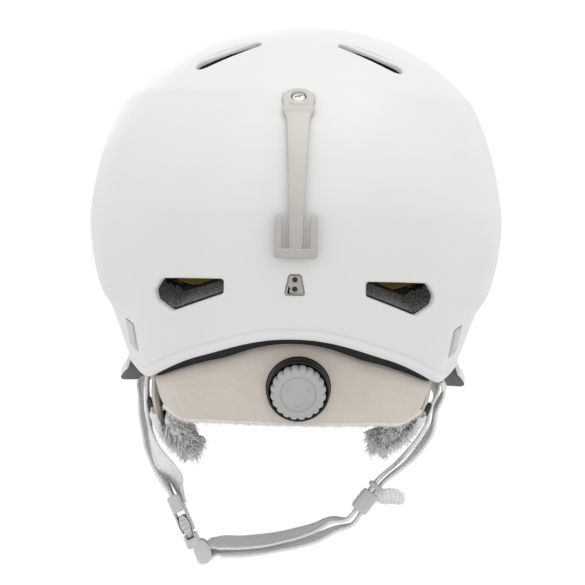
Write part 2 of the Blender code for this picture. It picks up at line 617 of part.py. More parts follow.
def make_goggle_clip(shell, foam):
    place = clip_frame()
    combine(shell, drum("cut_clip_cup", CLIP_CUP_RADIUS, -CLIP_CUP_DEPTH, CUT_REACH, None, place, 24))
    combine(shell, drum("cut_clip_bore", CLIP_BORE_RADIUS, -CUT_REACH, CUT_REACH, None, place))
    bore, radius = CLIP_INSERT_RADII
    top, bottom = CLIP_INSERT_DEPTHS
    combine(foam, drum("cut_insert_pocket", radius + GAP, -bottom - GAP, 0, None, place))
    nut = ((radius, -top), (radius, -bottom), (bore, -bottom), (bore, -top))
    turned("clip_insert_nut", nut, STEEL, place, 20)
    turned("goggle_clip_base", CLIP_COLLAR, WARM_GREY, place, 24)
    turned("goggle_clip_screw", CLIP_SCREW, STEEL, place, 20)
    # strip, crossbar and prongs: cells of one curved slab that stands off the shell
    top, foot = CLIP_HINGE_Z - 0.0012, CLIP_END_Z
    bar_top = foot + CROSSBAR_HEIGHT
    prong_top = bar_top + PRONG_HEIGHT
    heights = [*np.linspace(top, prong_top, 8), *np.linspace(prong_top, bar_top, 4)[1:], foot]
    outer, inner, mask = [], [], []
    for height in heights:
        part = (top - height) / (top - foot)
        half = CLIP_HALF_WIDTHS[1] + (CLIP_HALF_WIDTHS[0] - CLIP_HALF_WIDTHS[1]) * (1 - part) ** 2
        stand = CLIP_STAND_OFF[0] + (CLIP_STAND_OFF[1] - CLIP_STAND_OFF[0]) * math.sqrt(part)
        edge = CROSSBAR_HALF - PRONG_WIDTH
        columns = (-CROSSBAR_HALF, -edge, -half, 0.0, half, edge, CROSSBAR_HALF)
        near, normal = rear_point(height, stand)
        for rows, lift in ((inner, 0.0), (outer, CLIP_THICKNESS)):
            rows.append([(x, *(near + normal * lift)[1:]) for x in columns])
    for upper in heights[:-1]:
        in_bar = upper < bar_top + 1e-6
        in_prong = upper < prong_top + 1e-6
        mask.append([in_prong, in_bar, True, True, in_bar, in_prong])
    slab("goggle_clip_arm", np.array(outer), np.array(inner), WARM_GREY, np.array(mask))


def make_accessory_plate(shell):
    place = frame_at(*rear_point(PLATE_Z))
    (narrow, wide), half = PLATE_HALF_WIDTHS, PLATE_HEIGHT / 2
    outline = ((-wide, -half), (wide, -half), (narrow, half), (-narrow, half))

    def plate(name, grow, low, high, finish):
        ring = [(x + math.copysign(grow, x), y + math.copysign(grow, y)) for x, y in outline]
        return prism(name, [(x, y, low) for x, y in ring], [(x, y, high) for x, y in ring], finish, place)

    combine(shell, plate("cut_plate_recess", GAP, -PLATE_RECESS, CUT_REACH, None))
    base = plate("accessory_plate", 0.0, -PLATE_SUNK, PLATE_SUNK, SILVER)
    hole, seat = PLATE_HOLE_RADIUS, PLATE_SCREW_RADIUS + GAP
    under_head = PLATE_SCREW[3][1] - GAP
    for label, height in PLATE_SCREW_HEIGHTS:
        spot = place @ Matrix.Translation((0, height, 0))
        combine(shell, drum(f"cut_plate_hole_{label}", hole, -CUT_REACH, CUT_REACH, None, spot, 12))
        combine(base, drum(f"cut_plate_bore_{label}", hole, -CUT_REACH, CUT_REACH, None, spot, 16))
        combine(base, drum(f"cut_plate_seat_{label}", seat, under_head, CUT_REACH, None, spot, 16))
        turned(f"plate_screw_{label}", PLATE_SCREW, STEEL, spot, 12)


def make_badges(shell):
    """Blank name plates, set into shallow recesses at the lower rear corners."""
    level = level_at(np.array(BADGE_ANGLE), BADGE_Z)
    near, far = skin(BADGE_ANGLE, level, 0.0), skin(BADGE_ANGLE, level, -0.01)
    for side, label in ((1, "left"), (-1, "right")):
        mirror = Vector((side, 1, 1))
        place = frame_at(Vector(near) * mirror, Vector(far - near) * mirror)

        def plate(name, scale, low, high, finish):
            ring = [(-side * x * scale, y * scale) for x, y in BADGE_OUTLINE]
            bottom, top = ([(x, y, z) for x, y in ring] for z in (low, high))
            return prism(name, bottom, top, finish, place)

        combine(shell, plate(f"cut_badge_{label}", 1.0, BADGE_DEPTHS[0] - GAP, CUT_REACH / 2, None))
        plate(f"side_badge_{label}", BADGE_SHARE, *BADGE_DEPTHS, WARM_GREY)


# ------------------------------------------------------------------ dial fit system
def dial_place():
    """The dial's axis: local Z runs out of the neck roll, local X to the wearer's right."""
    return frame_at(DIAL_CENTRE, Vector((0, math.cos(DIAL_TILT), -math.sin(DIAL_TILT))))


def make_knob(place):
    count = 3 * KNOB_SCALLOPS
    outline = []
    for i in range(count):
        angle = 2 * math.pi * i / count
        radius = KNOB_RADIUS - SCALLOP_DEPTH * (0.5 - 0.5 * math.cos(KNOB_SCALLOPS * angle))
        outline.append((radius * math.cos(angle), radius * math.sin(angle)))
    points = [(x * scale, y * scale, height) for scale, height in KNOB_LAYERS for x, y in outline]
    faces = [tuple(range(count)), tuple(range(4 * count - 1, 3 * count - 1, -1))]
    for a in range(0, 3 * count, count):
        b = a + count
        faces += [(a + i, b + i, b + (i + 1) % count, a + (i + 1) % count) for i in range(count)]
    knob = solid("dial_knob", points, faces, WARM_GREY, place)
    combine(knob, drum("cut_knob_bore", SHAFT_BORE_RADIUS, -0.006, 0.0035, None, place, 12))


def make_gear(place):
    outline = []
    count = 4 * PINION_TEETH
    for i in range(count):
        angle = 2 * math.pi * (i + 0.5) / count
        radius = PINION_PITCH_RADIUS + (PINION_TIP if i % 4 in (0, 1) else PINION_ROOT)
        outline.append((radius * math.cos(angle), radius * math.sin(angle)))
    low, high = ([(x, y, z) for x, y in outline] for z in PINION_DEPTHS)
    gear = prism("dial_gear", low, high, WARM_GREY, place)
    combine(gear, drum("dial_shaft", SHAFT_RADIUS, -0.0160, -0.0023, None, place, 16), "UNION")
    combine(gear, drum("cut_gear_bore", SHAFT_BORE_RADIUS, -0.020, 0.0, None, place, 12))
    shank, head = DIAL_SCREW_RADII
    turned("dial_screw", ((0, 0.0025), (shank, 0.0025), (shank, -0.0185), (head, -0.0185), (head, -0.0200),
                          (0, -0.0200)), STEEL, place, 12)


def make_racks(place):
    """One rack above and one below the pinion, each with teeth that face it."""
    half_pitch = math.pi * PINION_PITCH_RADIUS / PINION_TEETH
    for label, up in (("left", 1), ("right", -1)):
        ring = []
        for k in range(RACK_TEETH):
            ring.append((up * (RACK_START + k * half_pitch), up * (RACK_ROOT if k % 2 else RACK_TIP)))
        ring += [(ring[-1][0], up * RACK_BACK), (ring[0][0], up * RACK_BACK)]
        low, high = ([(x, y, z) for x, y in ring] for z in RACK_DEPTHS)
        prism(f"fit_rack_{label}", low, high, BLACK, place)


def make_dial(roll):
    place = dial_place()
    make_knob(place)
    make_gear(place)
    make_racks(place)
    ring, bore, shaft = DIAL_RING_RADIUS, DIAL_BORE_RADIUS, SHAFT_RADIUS + 0.0004
    top, floor, bottom = DIAL_RING_HEIGHT, DIAL_FLOOR_DEPTH, DIAL_RING_DEPTH
    turned("dial_housing", ((ring, top), (ring, bottom), (shaft, bottom), (shaft, floor), (bore, floor),
                            (bore, top)), BLACK, place, 32)
    (half_x, half_y), (low, high) = CRADLE_HALF, CRADLE_DEPTHS
    box("rear_cradle", (-half_x, -half_y, low), (half_x, half_y, high), BLACK, place, 0.0006)
    combine(roll, drum("cut_dial_opening", ring + GAP, -0.03, 0.02, None, place, 40))


# ------------------------------------------------------------------ soft liner
def make_neck_roll():
    columns, rows = 29, 6
    theta = np.radians(np.linspace(*ROLL_ENDS, columns))[None, :]
    angle = side_angle(theta)
    hem = curve_through(HEM, angle)
    top = hem - 0.0008 - 0.0047 * smooth_step((angle - 30) / 40)
    bottom = curve_through(ROLL_BOTTOM, angle)
    set_in = curve_through(ROLL_SET_IN, angle)
    part = np.linspace(0, 1, rows)[:, None]
    height = top + (bottom - top) * part
    theta = np.broadcast_to(theta, height.shape)
    set_in = np.broadcast_to(set_in, height.shape)
    puff = ROLL_PUFF * np.sqrt(np.clip(1 - (2 * part - 1) ** 2, 0, 1))
    level = level_at(theta, height)
    return slab("neck_roll", skin(theta, level, set_in + ROLL_PUFF - puff),
                skin(theta, level, set_in + ROLL_THICKNESS + 0.7 * (puff - ROLL_PUFF)), BEIGE)


def ear_grid(depth, side):
    """A grid of points over one ear pad, at a depth below its outer face."""
    columns, rows = 11, 9
    path = smooth_path([(x, 0.0, z) for x, z in EAR_SECTION], 33)
    lengths = np.concatenate([[0], np.cumsum(np.linalg.norm(np.diff(path, axis=0), axis=1))])
    middle, half = sum(EAR_Y) / 2, (EAR_Y[1] - EAR_Y[0]) / 2
    grid = np.zeros((rows, columns, 3))
    for c, u in enumerate(np.linspace(-1, 1, columns)):
        reach = (1 - 0.55 * abs(u) ** 3.0)
        for r, v in enumerate(np.linspace(0, 1, rows)):
            s = v * reach * lengths[-1]
            x, z = np.interp(s, lengths, path[:, 0]), np.interp(s, lengths, path[:, 2])
            ahead = min(s + 0.001, lengths[-1])
            behind = ahead - 0.002
            tx = np.interp(ahead, lengths, path[:, 0]) - np.interp(behind, lengths, path[:, 0])
            tz = np.interp(ahead, lengths, path[:, 2]) - np.interp(behind, lengths, path[:, 2])
            size = math.hypot(tx, tz)
            # the normal that points towards the head
            grid[r, c] = (x + depth * tz / size, middle + u * half, z - depth * tx / size)
    if side < 0:
        top = np.array([EAR_SECTION[0][0], 0, EAR_SECTION[0][1]])
        cos, sin = math.cos(RIGHT_EAR_LEAN), math.sin(RIGHT_EAR_LEAN)
        away = grid - top
        grid[..., 0] = top[0] + away[..., 0] * cos + away[..., 2] * sin
        grid[..., 2] = top[2] - away[..., 0] * sin + away[..., 2] * cos
        grid[..., 0] *= -1
    return grid


def make_ear_pads():
    for label, side in (("left", 1), ("right", -1)):
        slab(f"ear_pad_{label}", ear_grid(0.0, side), ear_grid(EAR_THICKNESS, side), BEIGE)
        fleece = slice(1, -1), slice(1, -1)
        slab(f"ear_fleece_{label}", ear_grid(EAR_THICKNESS + 3 * GAP, side)[fleece],
             ear_grid(EAR_THICKNESS + FLEECE_THICKNESS, side)[fleece], FLEECE)


# ------------------------------------------------------------------ straps and buckle
ACROSS = (0.0, 1.0, 0.0)


def make_anchors(foam):
    """Plastic webbing anchors, pushed up into pockets in the lower edge of the foam."""
    half = [v / 2 for v in ANCHOR_SIZE]
    pocket = [v + 2 * GAP for v in half]
    for side, label in ((1, "left"), (-1, "right")):
        for end, (x, y, z) in ANCHORS.items():
            place = Matrix.Translation((side * x, y, z))
            box(f"strap_anchor_{label}_{end}", [-v for v in half], half, BLACK, place, 0.0008)
            low = (-pocket[0], -pocket[1], -0.030)
            combine(foam, box(f"cut_anchor_{label}_{end}", low, pocket, None, place))


def anchor_start(side, end):
    x, y, z = ANCHORS[end]
    return (side * x, y, z - ANCHOR_SIZE[2] / 2 - ANCHOR_CLEARANCE)


def make_left_straps():
    step = STRAP_SIDE_STEP
    webbing("strap_left_front",
            (anchor_start(1, "front"), (0.0800, -0.0370, -0.0590), (0.0795, -0.0320, -0.0720),
             (0.0755, -0.0240, -0.0900), buckle_point(-0.0080, -0.0006, step),
             buckle_point(-0.0014, 0, step / 2)),
            (ACROSS, (0.1, 1, 0.2), (0, 1, 0.35), (0, 1, 0.35), (0, 1, 0.1), ACROSS))
    webbing("strap_left_rear",
            (anchor_start(1, "rear"), (0.0785, 0.0310, -0.0640), (0.0750, 0.0230, -0.0850),
             (0.0680, 0.0110, -0.1000), buckle_point(-0.0080, 0.0006, -step),
             buckle_point(-0.0014, 0, -step / 2)),
            (ACROSS, (-0.1, 1, -0.3), (0, 1, -0.5), (0, 1, -0.5), (0, 1, -0.1), ACROSS))


def make_right_straps():
    """Each right-hand strap is split at the line the chin strap swings about."""
    x, _, z = STRAP_PIVOT
    keeper = keeper_place()
    webbing("strap_right_front_upper",
            (anchor_start(-1, "front"), (-0.0785, -0.0360, -0.0600), (x - 0.0002, -0.0290, z + 0.0026)),
            ((-0.1, 1, 0.2), (-0.1, 1, 0.25), (0, 1, 0.25)), count=7)
    webbing("strap_right_rear_upper",
            (anchor_start(-1, "rear"), (-0.0792, 0.0290, -0.0610), (x - 0.0010, 0.0210, z + 0.0030)),
            (ACROSS, (0.1, 1, -0.2), (0, 1, -0.3)), count=7)
    webbing("strap_right_front_lower",
            ((x + 0.0010, -0.0275, z - 0.0026), (-0.0690, -0.0200, -0.0870), (-0.0575, -0.0120, -0.1000),
             keeper @ Vector((0.0016, 0, 0.0140)), keeper @ Vector((0.0012, 0, 0.0004))),
            ((0, 1, 0.25), (0, 1, 0.2), (0, 1, 0.1), ACROSS, ACROSS), count=11)
    webbing("strap_right_rear_lower",
            ((x - 0.0004, 0.0190, z - 0.0032), (-0.0712, 0.0120, -0.0880), (-0.0610, 0.0010, -0.1010),
             keeper @ Vector((-0.0016, 0, 0.0140)), keeper @ Vector((-0.0012, 0, 0.0004))),
            ((0, 1, -0.3), (0, 1, -0.3), (0, 1, -0.1), ACROSS, ACROSS), count=11)


def make_chin_straps():
    """The chin strap, the spare tail below it, and the woven end tab beyond the keeper."""
    keeper = keeper_place()
    lean = ((0, 1, -0.30), (0, 1, -0.40), (0, 1, -0.40), (0, 1, -0.38), (0, 1, -0.3), (0, 1, -0.15),
            ACROSS, ACROSS)
    webbing("chin_strap",
            (buckle_point(CHIN_STARTS[0], 0, CHIN_START_THROUGH), (0.0370, -0.0072, -0.1455),
             (0.0220, -0.0140, -0.1448), (0.0040, -0.0205, -0.1420), (-0.0120, -0.0165, -0.1372),
             (-0.0220, -0.0120, -0.1325), keeper @ Vector((0.0018, 0, -0.0135)),
             keeper @ Vector((0.0012, 0, -0.0004))), lean, count=17)
    webbing("chin_strap_tail",
            (buckle_point(CHIN_STARTS[1], 0, CHIN_START_THROUGH), (0.0370, -0.0072, -0.1500),
             (0.0220, -0.0140, -0.1490), (0.0040, -0.0205, -0.1464), (-0.0130, -0.0165, -0.1425),
             (-0.0250, -0.0120, -0.1372), keeper @ Vector((-0.0024, 0, -0.0135)),
             keeper @ Vector((-0.0012, 0, -0.0004))), lean, count=17)
    webbing("strap_end_tab",
            (keeper @ Vector((-0.0084, 0, 0.0010)), (-0.0535, -0.0060, -0.1212), (-0.0610, -0.0050, -0.1206)),
            ((0, 1, 0.5), (0, 1, 0.6), (0, 1, 0.6)), count=7, width=TAB_WIDTH)


def keeper_place():
    """Local Z runs up the straps, local Y along their width."""
    z = KEEPER_AXIS.normalized()
    y = Vector((0, 1, 0))
    x = y.cross(z)
    return Matrix.Translation(KEEPER_CENTRE) @ Matrix((x, y, z)).transposed().to_4x4()


def make_keeper():
    place = keeper_place()
    mouth_x, mouth_y = KEEPER_MOUTH_HALF
    half_x, half_y, half_z = KEEPER_HALF
    low, high = (-half_x, -half_y, -half_z), (half_x, half_y, half_z)
    keeper = box("strap_keeper", low, high, BUCKLE_GREY, place, 0.0010)
    combine(keeper, box("cut_keeper", (-mouth_x, -mouth_y, -0.012), (mouth_x, mouth_y, 0.012), None, place))
    (half_x, half_y), (low, high) = LOOP_HALF, LOOP_HEIGHTS
    loop = box("keeper_loop", (-half_x, -half_y, low), (half_x, half_y, high), BUCKLE_GREY, place, 0.0006)
    combine(loop, box("cut_keeper_loop", (-mouth_x, -mouth_y, 0.005), (mouth_x, mouth_y, 0.015), None, place))


def buckle_axes():
    """Along the buckle towards the plug, across it, and through its thickness."""
    arm = BUCKLE_MIDDLE - STRAP_PIVOT
    arm.y = 0
    arm.normalize()
    along = Vector((arm.z, 0, -arm.x))
    across = Vector((0, 1, 0))
    return along, across, along.cross(across)


def buckle_place():
    along, across, through = buckle_axes()
    top = BUCKLE_MIDDLE - along * 0.017
    return Matrix.Translation(top) @ Matrix((along, across, through)).transposed().to_4x4()


def buckle_point(along, across, through):
    return tuple(buckle_place() @ Vector((along, across, through)))


def make_buckle():
    make_socket()
    make_plug()
    make_prongs()


def make_socket():
    place = buckle_place()
    half_w, half_t = SOCKET_WIDTH / 2, SOCKET_THICKNESS / 2
    low, high = (0, -half_w, -half_t), (SOCKET_LENGTH, half_w, half_t)
    socket = box("buckle_socket", low, high, BUCKLE_GREY, place, 0.0010)
    low, high = (CAVITY_START, -0.020, -CAVITY_HALF), (0.030, 0.020, CAVITY_HALF)
    combine(socket, box("cut_socket_cavity", low, high, None, place))


def make_plug():
    place = buckle_place()
    half_w, half_t = SOCKET_WIDTH / 2, SOCKET_THICKNESS / 2
    body_start = SOCKET_LENGTH + 2 * GAP
    plug = box("buckle_plug", (body_start, -half_w, -half_t), (PLUG_END, half_w, half_t), BUCKLE_GREY, place)
    slot_half = TONGUE_HALF + GAP
    for sign in (1, -1):
        near, far = sorted((sign * (PRONG_PAD[0] - GAP), sign * (half_w + 0.001 + GAP)))
        low, high = (0.0, near, -slot_half), (PRONG_HINGE[0] + 0.0026, far, slot_half)
        combine(plug, box(f"cut_prong_root_{sign + 1}", low, high, None, place))
    low = (TONGUE_START, -TONGUE_HALF_WIDTH, -TONGUE_HALF)
    high = (body_start + 0.002, TONGUE_HALF_WIDTH, TONGUE_HALF)
    combine(plug, box("plug_tongue", low, high, None, place), "UNION")
    # the adjuster at the plug's end: two cheeks joined by bars that the webbing passes round
    along, across, through = CHEEK_PLACE
    for sign in (1, -1):
        spot = place @ Matrix.Translation((along, sign * across, through))
        spot = spot @ Matrix.Rotation(math.pi / 2, 4, "X") @ Matrix.Diagonal(CHEEK_STRETCH)
        cheek = drum(f"plug_cheek_{sign + 1}", CHEEK_RADIUS, -CHEEK_HALF, CHEEK_HALF, None, spot, 16)
        combine(plug, cheek, "UNION")
    half_along, half_through = PLUG_BAR_HALF
    for label, along, through in PLUG_BARS:
        low = (along - half_along, -PLUG_BAR_HALF_LENGTH, through - half_through)
        high = (along + half_along, PLUG_BAR_HALF_LENGTH, through + half_through)
        combine(plug, box(f"plug_bar_{label}", low, high, None, place), "UNION")


def make_prongs():
    """The two sprung arms: an outline along the buckle, with each width a share of the pad's reach."""
    place = buckle_place() @ Matrix.Translation((PRONG_HINGE[0], 0, 0))
    near, far = PRONG_PAD
    for label, sign in (("rear", 1), ("front", -1)):
        ring = [(along, sign * (near + (far - near) * share)) for along, share in PRONG_OUTLINE]
        low, high = ([(x, y, z) for x, y in ring] for z in (-TONGUE_HALF, TONGUE_HALF))
        prism(f"buckle_prong_{label}", low, high, BUCKLE_GREY, place)


def main():
    for old in list(bpy.data.objects):
        bpy.data.objects.remove(old, do_unlink=True)
    shell, foam, slip = make_shell()
    vent_cutters(shell, foam, slip)
    make_brim()
    make_pads()
    make_slip_anchors()
    make_goggle_clip(shell, foam)
    make_accessory_plate(shell)
    make_badges(shell)
    roll = make_neck_roll()
    make_dial(roll)
    make_ear_pads()
    make_anchors(foam)
    make_left_straps()
    make_right_straps()
    make_chin_straps()
    make_keeper()
    make_buckle()


main()
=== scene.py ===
"""Looks of the ski helmet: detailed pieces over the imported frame, their materials, light and camera.

Metres, +Z up, the brim faces -Y and the wearer's left is +X, as in the frame.
"""

import math

import bmesh
import bpy
import numpy as np
from mathutils import Matrix, Vector


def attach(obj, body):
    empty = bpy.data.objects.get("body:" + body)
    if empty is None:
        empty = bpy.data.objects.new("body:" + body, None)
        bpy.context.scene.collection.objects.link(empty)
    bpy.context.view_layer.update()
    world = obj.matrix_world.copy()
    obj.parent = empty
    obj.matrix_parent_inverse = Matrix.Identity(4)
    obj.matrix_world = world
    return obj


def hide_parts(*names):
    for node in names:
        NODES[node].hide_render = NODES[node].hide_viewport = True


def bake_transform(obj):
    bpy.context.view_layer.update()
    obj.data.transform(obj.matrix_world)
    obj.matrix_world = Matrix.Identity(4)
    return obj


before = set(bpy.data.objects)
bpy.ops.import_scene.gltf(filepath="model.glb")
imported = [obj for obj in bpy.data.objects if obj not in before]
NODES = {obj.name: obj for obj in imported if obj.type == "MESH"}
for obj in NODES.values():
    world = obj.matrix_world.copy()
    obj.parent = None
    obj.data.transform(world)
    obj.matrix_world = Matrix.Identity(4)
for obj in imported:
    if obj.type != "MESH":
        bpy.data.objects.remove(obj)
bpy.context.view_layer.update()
ROOT = "helmet"

# ------------------------------------------------------------------ form of the shell, as the frame has it
CROWN_Z = 0.130
PLAN_CENTRE_Y = 0.008
PLAN_POWER = 2.25
SIDE = dict(upper=(0.0927, 0.0890), lower=(0.1090, 0.0280), slopes=(50, 63.5, 85.4), taper=0.37)
REAR = dict(upper=(0.0930, 0.0868), lower=(0.1260, 0.0226), slopes=(37, 48, 83), taper=0.28)
FRONT = dict(upper=(0.1030, 0.0925), lower=(0.1360, 0.0330), slopes=(40, 52, 82), taper=0.12)
TAPER_KNEE = 0.044
SIDE_TUCK = 0.0030
SIDE_TUCK_DEPTH = (0.040, 0.050)
LOWER_UNIT = 0.050
HEM = ((-90, -0.004), (-70, -0.012), (-52, -0.036), (-38, -0.046), (-15, -0.047), (8, -0.050),
       (28, -0.0587), (62, -0.0487), (90, -0.0403))
SHELL_WALL = 0.0028
FOAM_OUTER, FOAM_INNER = 0.0033, 0.0225
SLIP_OUTER, SLIP_INNER = 0.0255, 0.0264
PAD_OUTER, PAD_INNER = 0.0279, 0.0330
REAR_VENT = ((0.0353, -0.0114), (0.0664, -0.0106), (0.0704, -0.0164), (0.0692, -0.0211),
             (0.0610, -0.0268), (0.0353, -0.0185))
SIDE_VENT = ((0.030, -0.0085), (-0.026, -0.0070), (-0.034, -0.0120), (-0.031, -0.0180),
             (-0.021, -0.0215), (0.030, -0.0165))
REAR_VENT_ROUND, SIDE_VENT_ROUND = 0.0016, 0.0022
TOP_VENT = dict(outer=(0.0520, 0.0700, 0.0980), inner=(0.0210, 0.0640, 0.1160), widths=(0.0085, 0.0050))
FRONT_VENT = dict(outer=(0.0500, -0.0660, 0.1040), inner=(0.0210, -0.0560, 0.1210), widths=(0.0085, 0.0050))


def curve_through(knots, x):
    """A smooth curve through (x, y) knots that never overshoots them."""
    xs, ys = np.array(knots, float).T
    steps, rises = np.diff(xs), np.diff(ys) / np.diff(xs)
    slopes = np.zeros(len(xs))
    for i in range(1, len(xs) - 1):
        if rises[i - 1] * rises[i] > 0:
            slopes[i] = 2 * rises[i - 1] * rises[i] / (rises[i - 1] + rises[i])
    x = np.clip(x, xs[0], xs[-1])
    k = np.clip(np.searchsorted(xs, x, side="right") - 1, 0, len(xs) - 2)
    t = (x - xs[k]) / steps[k]
    return (ys[k] * (1 + 2 * t) * (1 - t) ** 2 + steps[k] * slopes[k] * t * (1 - t) ** 2
            + ys[k + 1] * t * t * (3 - 2 * t) + steps[k] * slopes[k + 1] * t * t * (t - 1))


def smooth_step(x):
    x = np.clip(x, 0.0, 1.0)
    return x * x * (3 - 2 * x)


def bezier(a, b, c, d, t):
    s = 1 - t
    return a * s ** 3 + 3 * b * s * s * t + 3 * c * s * t * t + d * t ** 3


def profile(form, level):
    """Radius and height on one meridian: level 0 crown, 1 and 2 the creases, more below."""
    (r1, z1), (r2, z2) = form["upper"], form["lower"]
    crown_end, band_start, band_end = (math.radians(a) for a in form["slopes"])
    chord = math.hypot(r2 - r1, z1 - z2)
    t = np.clip(level, 0, 1)
    hook = 0.30 * r1
    radius = bezier(0.0, 0.54 * r1, r1 - hook * math.cos(crown_end), r1, t)
    height = bezier(CROWN_Z, CROWN_Z, z1 + hook * math.sin(crown_end), z1, t)
    t = np.clip(level - 1, 0, 1)
    start, end = 0.32 * chord, 0.35 * chord
    band_r = bezier(r1, r1 + start * math.cos(band_start), r2 - end * math.cos(band_end), r2, t)
    band_z = bezier(z1, z1 - start * math.sin(band_start), z2 + end * math.sin(band_end), z2, t)
    below = level > 1
    radius, height = np.where(below, band_r, radius), np.where(below, band_z, height)
    depth = np.maximum(level - 2, 0) * LOWER_UNIT
    curved = np.minimum(depth, TAPER_KNEE)
    loss = form["taper"] * (curved ** 2 / (2 * TAPER_KNEE) + np.maximum(depth - TAPER_KNEE, 0))
    return radius - loss, height - depth


def side_angle(theta):
    """Degrees from the side: -90 at the front, 0 at either side, 90 at the rear centre."""
    return np.degrees(np.arcsin(np.clip(np.sin(theta), -1, 1)))


def bare_skin(theta, level):
    cos, sin = np.cos(theta), np.sin(theta)
    x_part = np.sign(cos) * np.abs(cos) ** (2 / PLAN_POWER)
    y_part = np.sign(sin) * np.abs(sin) ** (2 / PLAN_POWER)
    side_r, side_z = profile(SIDE, level)
    rear_r, rear_z = profile(REAR, level)
    front_r, front_z = profile(FRONT, level)
    end_r = np.where(sin >= 0, rear_r, front_r)
    end_z = np.where(sin >= 0, rear_z, front_z)
    depth = np.maximum(level - 2, 0) * LOWER_UNIT
    start, full = SIDE_TUCK_DEPTH
    angle = side_angle(theta)
    reach = smooth_step((angle + 52) / 22) * smooth_step((44 - angle) / 24)
    side_r = side_r - SIDE_TUCK * reach * smooth_step((depth - start) / (full - start))
    return np.stack([side_r * x_part, PLAN_CENTRE_Y + end_r * y_part,
                     side_z * cos ** 2 + end_z * sin ** 2], axis=-1)


def skin(theta, level, inset=0.0):
    """Points on the shell's outer form, or inset below it along its normal."""
    theta, level, inset = np.broadcast_arrays(np.asarray(theta, float), np.asarray(level, float),
                                              np.asarray(inset, float))
    point = bare_skin(theta, level)
    step = 0.004
    around = bare_skin(theta + step, level) - bare_skin(theta - step, level)
    down = bare_skin(theta, level + step) - bare_skin(theta, np.maximum(level - step, 0.0))
    normal = np.cross(down, around)
    size = np.linalg.norm(normal, axis=-1, keepdims=True)
    normal = np.where(size > 1e-12, normal / np.maximum(size, 1e-12), np.array([0.0, 0.0, 1.0]))
    normal = np.where((level < 1e-6)[..., None], np.array([0.0, 0.0, 1.0]), normal)
    return point - normal * inset[..., None]


def level_at(theta, height):
    """The level, below the lower crease, at which the outer form has the given height."""
    crease = bare_skin(np.asarray(theta, float), np.full(np.shape(theta), 2.0))[..., 2]
    return 2 + (crease - height) / LOWER_UNIT


def hem_level(theta, lift=0.0):
    return level_at(theta, curve_through(HEM, side_angle(theta)) + lift)


def level_for_height(theta, height):
    """The level at a height anywhere below the crown."""
    theta, height = np.broadcast_arrays(np.asarray(theta, float), np.asarray(height, float))
    crease = bare_skin(theta, np.full(theta.shape, 2.0))[..., 2]
    low, high = np.full(theta.shape, 0.2), np.full(theta.shape, 2.0)
    for _ in range(34):
        middle = (low + high) / 2
        above = bare_skin(theta, middle)[..., 2] > height
        low, high = np.where(above, middle, low), np.where(above, high, middle)
    return np.where(height >= crease, (low + high) / 2, level_at(theta, height))


REAR_LEVELS = np.linspace(0.2, 3.4, 3201)
REAR_HEIGHTS = bare_skin(np.full(REAR_LEVELS.shape, math.pi / 2), REAR_LEVELS)[:, 2]


def rear_point(height, stand_off=0.0):
    """A point of the rear centre line and its outward normal."""
    theta = np.array(math.pi / 2)
    level = np.array(np.interp(-height, -REAR_HEIGHTS, REAR_LEVELS))
    here, there = skin(theta, level, 0.0), skin(theta, level, -0.01)
    normal = (there - here) / 0.01
    return Vector(here + normal * stand_off), Vector(normal)


def on_skin(view, first, z, inset):
    """Points below the lower crease, seen from the rear (first is X) or the side (first is Y), at a depth."""
    first, z, inset = (np.asarray(v, float) for v in np.broadcast_arrays(first, z, inset))
    axis = 0 if view == "rear" else 1
    low, high = (np.zeros(first.shape), np.full(first.shape, math.pi / 2))
    if view == "side":
        low = low - math.pi / 2
    for _ in range(34):
        middle = (low + high) / 2
        value = bare_skin(middle, level_at(middle, z))[..., axis]
        beyond = value < first if view == "rear" else value > first
        low, high = np.where(beyond, low, middle), np.where(beyond, middle, high)
    theta = (low + high) / 2
    return skin(theta, level_at(theta, z), inset)


# ------------------------------------------------------------------ mesh helpers
def new_mesh(name, points, faces, mats=(), face_mats=None, uvs=None, smooth=True, sharp=38, fix=True):
    """A mesh object. uvs, one pair for each point, are in metres along the surface."""
    mesh = bpy.data.meshes.new(name)
    mesh.from_pydata(np.asarray(points, float).tolist(), [], [list(map(int, f)) for f in faces])
    if face_mats is not None:
        mesh.polygons.foreach_set("material_index", np.asarray(face_mats, np.int32))
    if uvs is not None:
        layer = mesh.uv_layers.new(name="weave")
        loops = np.zeros(len(mesh.loops), np.int32)
        mesh.loops.foreach_get("vertex_index", loops)
        layer.data.foreach_set("uv", np.asarray(uvs, np.float32)[loops].ravel())
    if fix:
        work = bmesh.new()
        work.from_mesh(mesh)
        bmesh.ops.recalc_face_normals(work, faces=work.faces)
        work.to_mesh(mesh)
        work.free()
    if smooth:
        mesh.shade_smooth()
        mesh.set_sharp_from_angle(angle=math.radians(sharp))
    for mat in mats:
        mesh.materials.append(mat)
    made = bpy.data.objects.new(name, mesh)
    bpy.context.scene.collection.objects.link(made)
    return made


def grid_faces(rows, cols, wrap_cols=False, start=0, flip=False):
    faces = []
    for r in range(rows - 1):
        for c in range(cols if wrap_cols else cols - 1):
            d = (c + 1) % cols
            quad = [start + r * cols + c, start + r * cols + d, start + (r + 1) * cols + d,
                    start + (r + 1) * cols + c]
            faces.append(quad[::-1] if flip else quad)
    return faces


def apply_modifiers(obj):
    bpy.context.view_layer.update()
    evaluated = obj.evaluated_get(bpy.context.evaluated_depsgraph_get())
    mesh = bpy.data.meshes.new_from_object(evaluated)
    old = obj.data
    obj.modifiers.clear()
    obj.data = mesh
    if old.users == 0:
        bpy.data.meshes.remove(old)
    return obj


